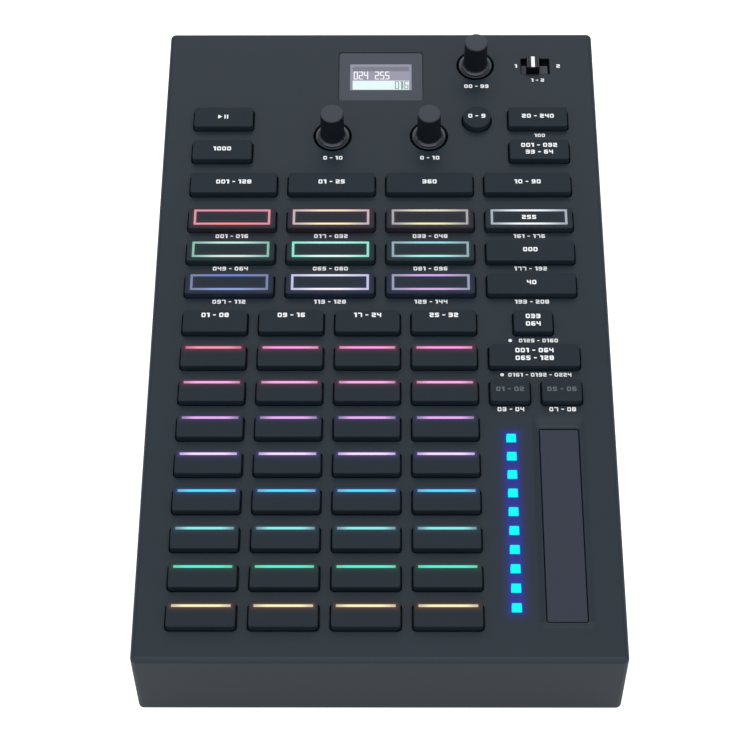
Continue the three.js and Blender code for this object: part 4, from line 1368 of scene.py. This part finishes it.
for node, lines in key_lines.items():
    key_text(node, lines)
for bank, line in enumerate(("01 - 08", "09 - 16", "17 - 24", "25 - 32"), 1):
    key_text(f"bank_button_{bank}", [line], lift=bank_print_lift)
key_text("group_button_left", ["01 - 02"], dim_ink)
key_text("group_button_right", ["05 - 06"], dim_ink)

# The play sign is a triangle, and the pause sign is two bars
(play_x, play_y), = key_nodes["play_pause_button"][0]
play_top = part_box("play_pause_button")[1].z
left = play_x + play_place - play_reach / 2
signs = [[(left, -1), (left + play_reach, 0), (left, 1)]]
for place in pause_places:
    left = play_x + place - play_bar / 2
    signs.append([(left, -1), (left + play_bar, -1), (left + play_bar, 1), (left, 1)])
play_print = bmesh.new()
for corners in signs:
    points = [play_print.verts.new((x, play_y + side * key_print / 2, play_top)) for x, side in corners]
    face = play_print.faces.new(points)
    face.normal_update()
    shaped(play_print, face, [(0, ink_thickness)])
fill_flat(play_print, play_top)
finished(play_print, "play_pause_button_print", white_ink, "light_plastic", body="play_pause_button")

captions = []
first = 1
for node in nodes_named("position_row_"):
    for x, y in key_nodes[node][0]:
        text = f"{first:03d} - {first + channels_in_key - 1:03d}"
        captions.append((text, x, y - key_depth / 2 - caption_drop, caption_print))
        first += channels_in_key
for node, text in (("white_button", "161 - 176"), ("black_button", "177 - 192"), ("uv_button", "193 - 208")):
    (x, y), = key_nodes[node][0]
    captions.append((text, x, y - key_depth / 2 - caption_drop, caption_print))
for node, text in (("select_knob", "00 - 99"), ("speed_knob", "0 - 10"), ("color_knob", "0 - 10")):
    middle = place_of(node)[3]
    captions.append((text, middle.x + knob_caption_shift, middle.y - knob_caption_drop, caption_print))
printed("deck_print", captions + list(deck_captions), deck)
dots = bmesh.new()
for x, y in dot_places:
    shaped(dots, disc(dots, x, y, 2 * dot_radius, deck, dot_steps), [(0, ink_thickness)])
fill_flat(dots, deck)
finished(dots, "deck_dots", white_ink, "light_plastic")
for name, text, (x, lift), y, ink in (
    ("screen_figures", "024   255", screen_line_place, band_y, screen_ink),
    ("screen_bar_figures", "016", screen_bar_place, bar_y, screen_dark_ink),
):
    printed(name, [(text, x, y + lift, screen_text_height)], level, ink, screen_style)


# Table, light and camera. A pale table and a white surround, a wide soft light overhead and a weaker one
# behind, and a long lens that looks down at the controller from in front.
table_size = 6.0
table_look = {"Roughness": 0.9, "Specular IOR Level": 0.1, "Emission Color": (1, 1, 1, 1)}
table_colour = "#bdbdbd"
table_glow = 1.0
table_gloss_glow = 0.15
surround_strength = 0.85
# What shines back at the camera: bright in front of the upright and at the sides, and dim behind it
surround_gloss = {"From Min": -0.5, "From Max": 0.1, "To Min": 1.0, "To Max": 0.3}
side_gloss = {"From Min": 0.7, "From Max": 0.9, "To Min": 0.0, "To Max": 1.0}
lens = 113.93
sensor = 36.0
# How far the picture's middle lies from the lens axis, as shares of its width
picture_shift_share = (-0.0008, 0.00073)
camera_place = Vector((0.003689, -0.595005, 0.907139))
camera_right = Vector((0.9999848, 0.00299001, -0.00463199))
camera_up = Vector((0.0000525, 0.834956, 0.550316))
camera_back = Vector((0.00551296, -0.55030834, 0.83494331))
# Each light: name, place, width, height, power
soft_lights = (
    ("overhead", (0.0, -0.1, 1.4), 1.6, 0.6, 4.5),
    ("behind", (0.0, 1.5, 1.2), 1.6, 0.8, 3.6),
)

table_mesh = bpy.data.meshes.new("table")
table = bmesh.new()
bmesh.ops.create_grid(table, x_segments=1, y_segments=1, size=table_size / 2)
table.to_mesh(table_mesh)
table.free()
table_piece = bpy.data.objects.new("table", table_mesh)
scene.collection.objects.link(table_piece)
table_material, tree, shader = new_finish("table")
rays = shader_node(tree, "ShaderNodeLightPath")
mirrored = maths(tree, "MULTIPLY", rays["Is Glossy Ray"], table_gloss_glow)
seen = maths(tree, "MULTIPLY_ADD", rays["Is Camera Ray"], table_glow, mirrored)
connect(tree, shader, {"Base Color": shade(table_colour), "Emission Strength": seen, **table_look})
table_mesh.materials.append(table_material)

world = bpy.data.worlds.new("surround")
scene.world = world
world.use_nodes = True
tree = world.node_tree
rays = shader_node(tree, "ShaderNodeLightPath")
place = shader_node(tree, "ShaderNodeTexCoord")["Generated"]
direction = shader_node(tree, "ShaderNodeSeparateXYZ", {0: place})
sideways = maths(tree, "ABSOLUTE", direction["X"])
beside = shader_node(tree, "ShaderNodeMapRange", {"Value": sideways, **side_gloss})["Result"]
before = shader_node(tree, "ShaderNodeMapRange", {"Value": direction["Y"], **surround_gloss})["Result"]
brighter = maths(tree, "MAXIMUM", beside, before)
for_gloss = {"Value": rays["Is Glossy Ray"], "To Min": surround_strength, "To Max": brighter}
gloss = shader_node(tree, "ShaderNodeMapRange", for_gloss)["Result"]
for_camera = {"Value": rays["Is Camera Ray"], "To Min": gloss, "To Max": 1.0}
strength = shader_node(tree, "ShaderNodeMapRange", for_camera)["Result"]
connect(tree, tree.nodes["Background"], {"Strength": strength, "Color": (1, 1, 1, 1)})

for name, place, light_width, light_height, power in soft_lights:
    lamp = bpy.data.lights.new(name, "AREA")
    lamp.shape = "RECTANGLE"
    lamp.size = light_width
    lamp.size_y = light_height
    lamp.energy = power
    lamp_object = bpy.data.objects.new(name, lamp)
    lamp_object.location = place
    lamp_object.rotation_euler = (-Vector(place)).to_track_quat("-Z", "Y").to_euler()
    scene.collection.objects.link(lamp_object)

camera_data = bpy.data.cameras.new("camera")
camera_data.lens = lens
camera_data.sensor_width = sensor
camera_data.shift_x, camera_data.shift_y = picture_shift_share
camera = bpy.data.objects.new("camera", camera_data)
camera_turn = Matrix((camera_right, camera_up, camera_back)).transposed().to_4x4()
camera.matrix_world = Matrix.Translation(camera_place) @ camera_turn
scene.collection.objects.link(camera)
scene.camera = camera
scene.view_settings.view_transform = "Standard"
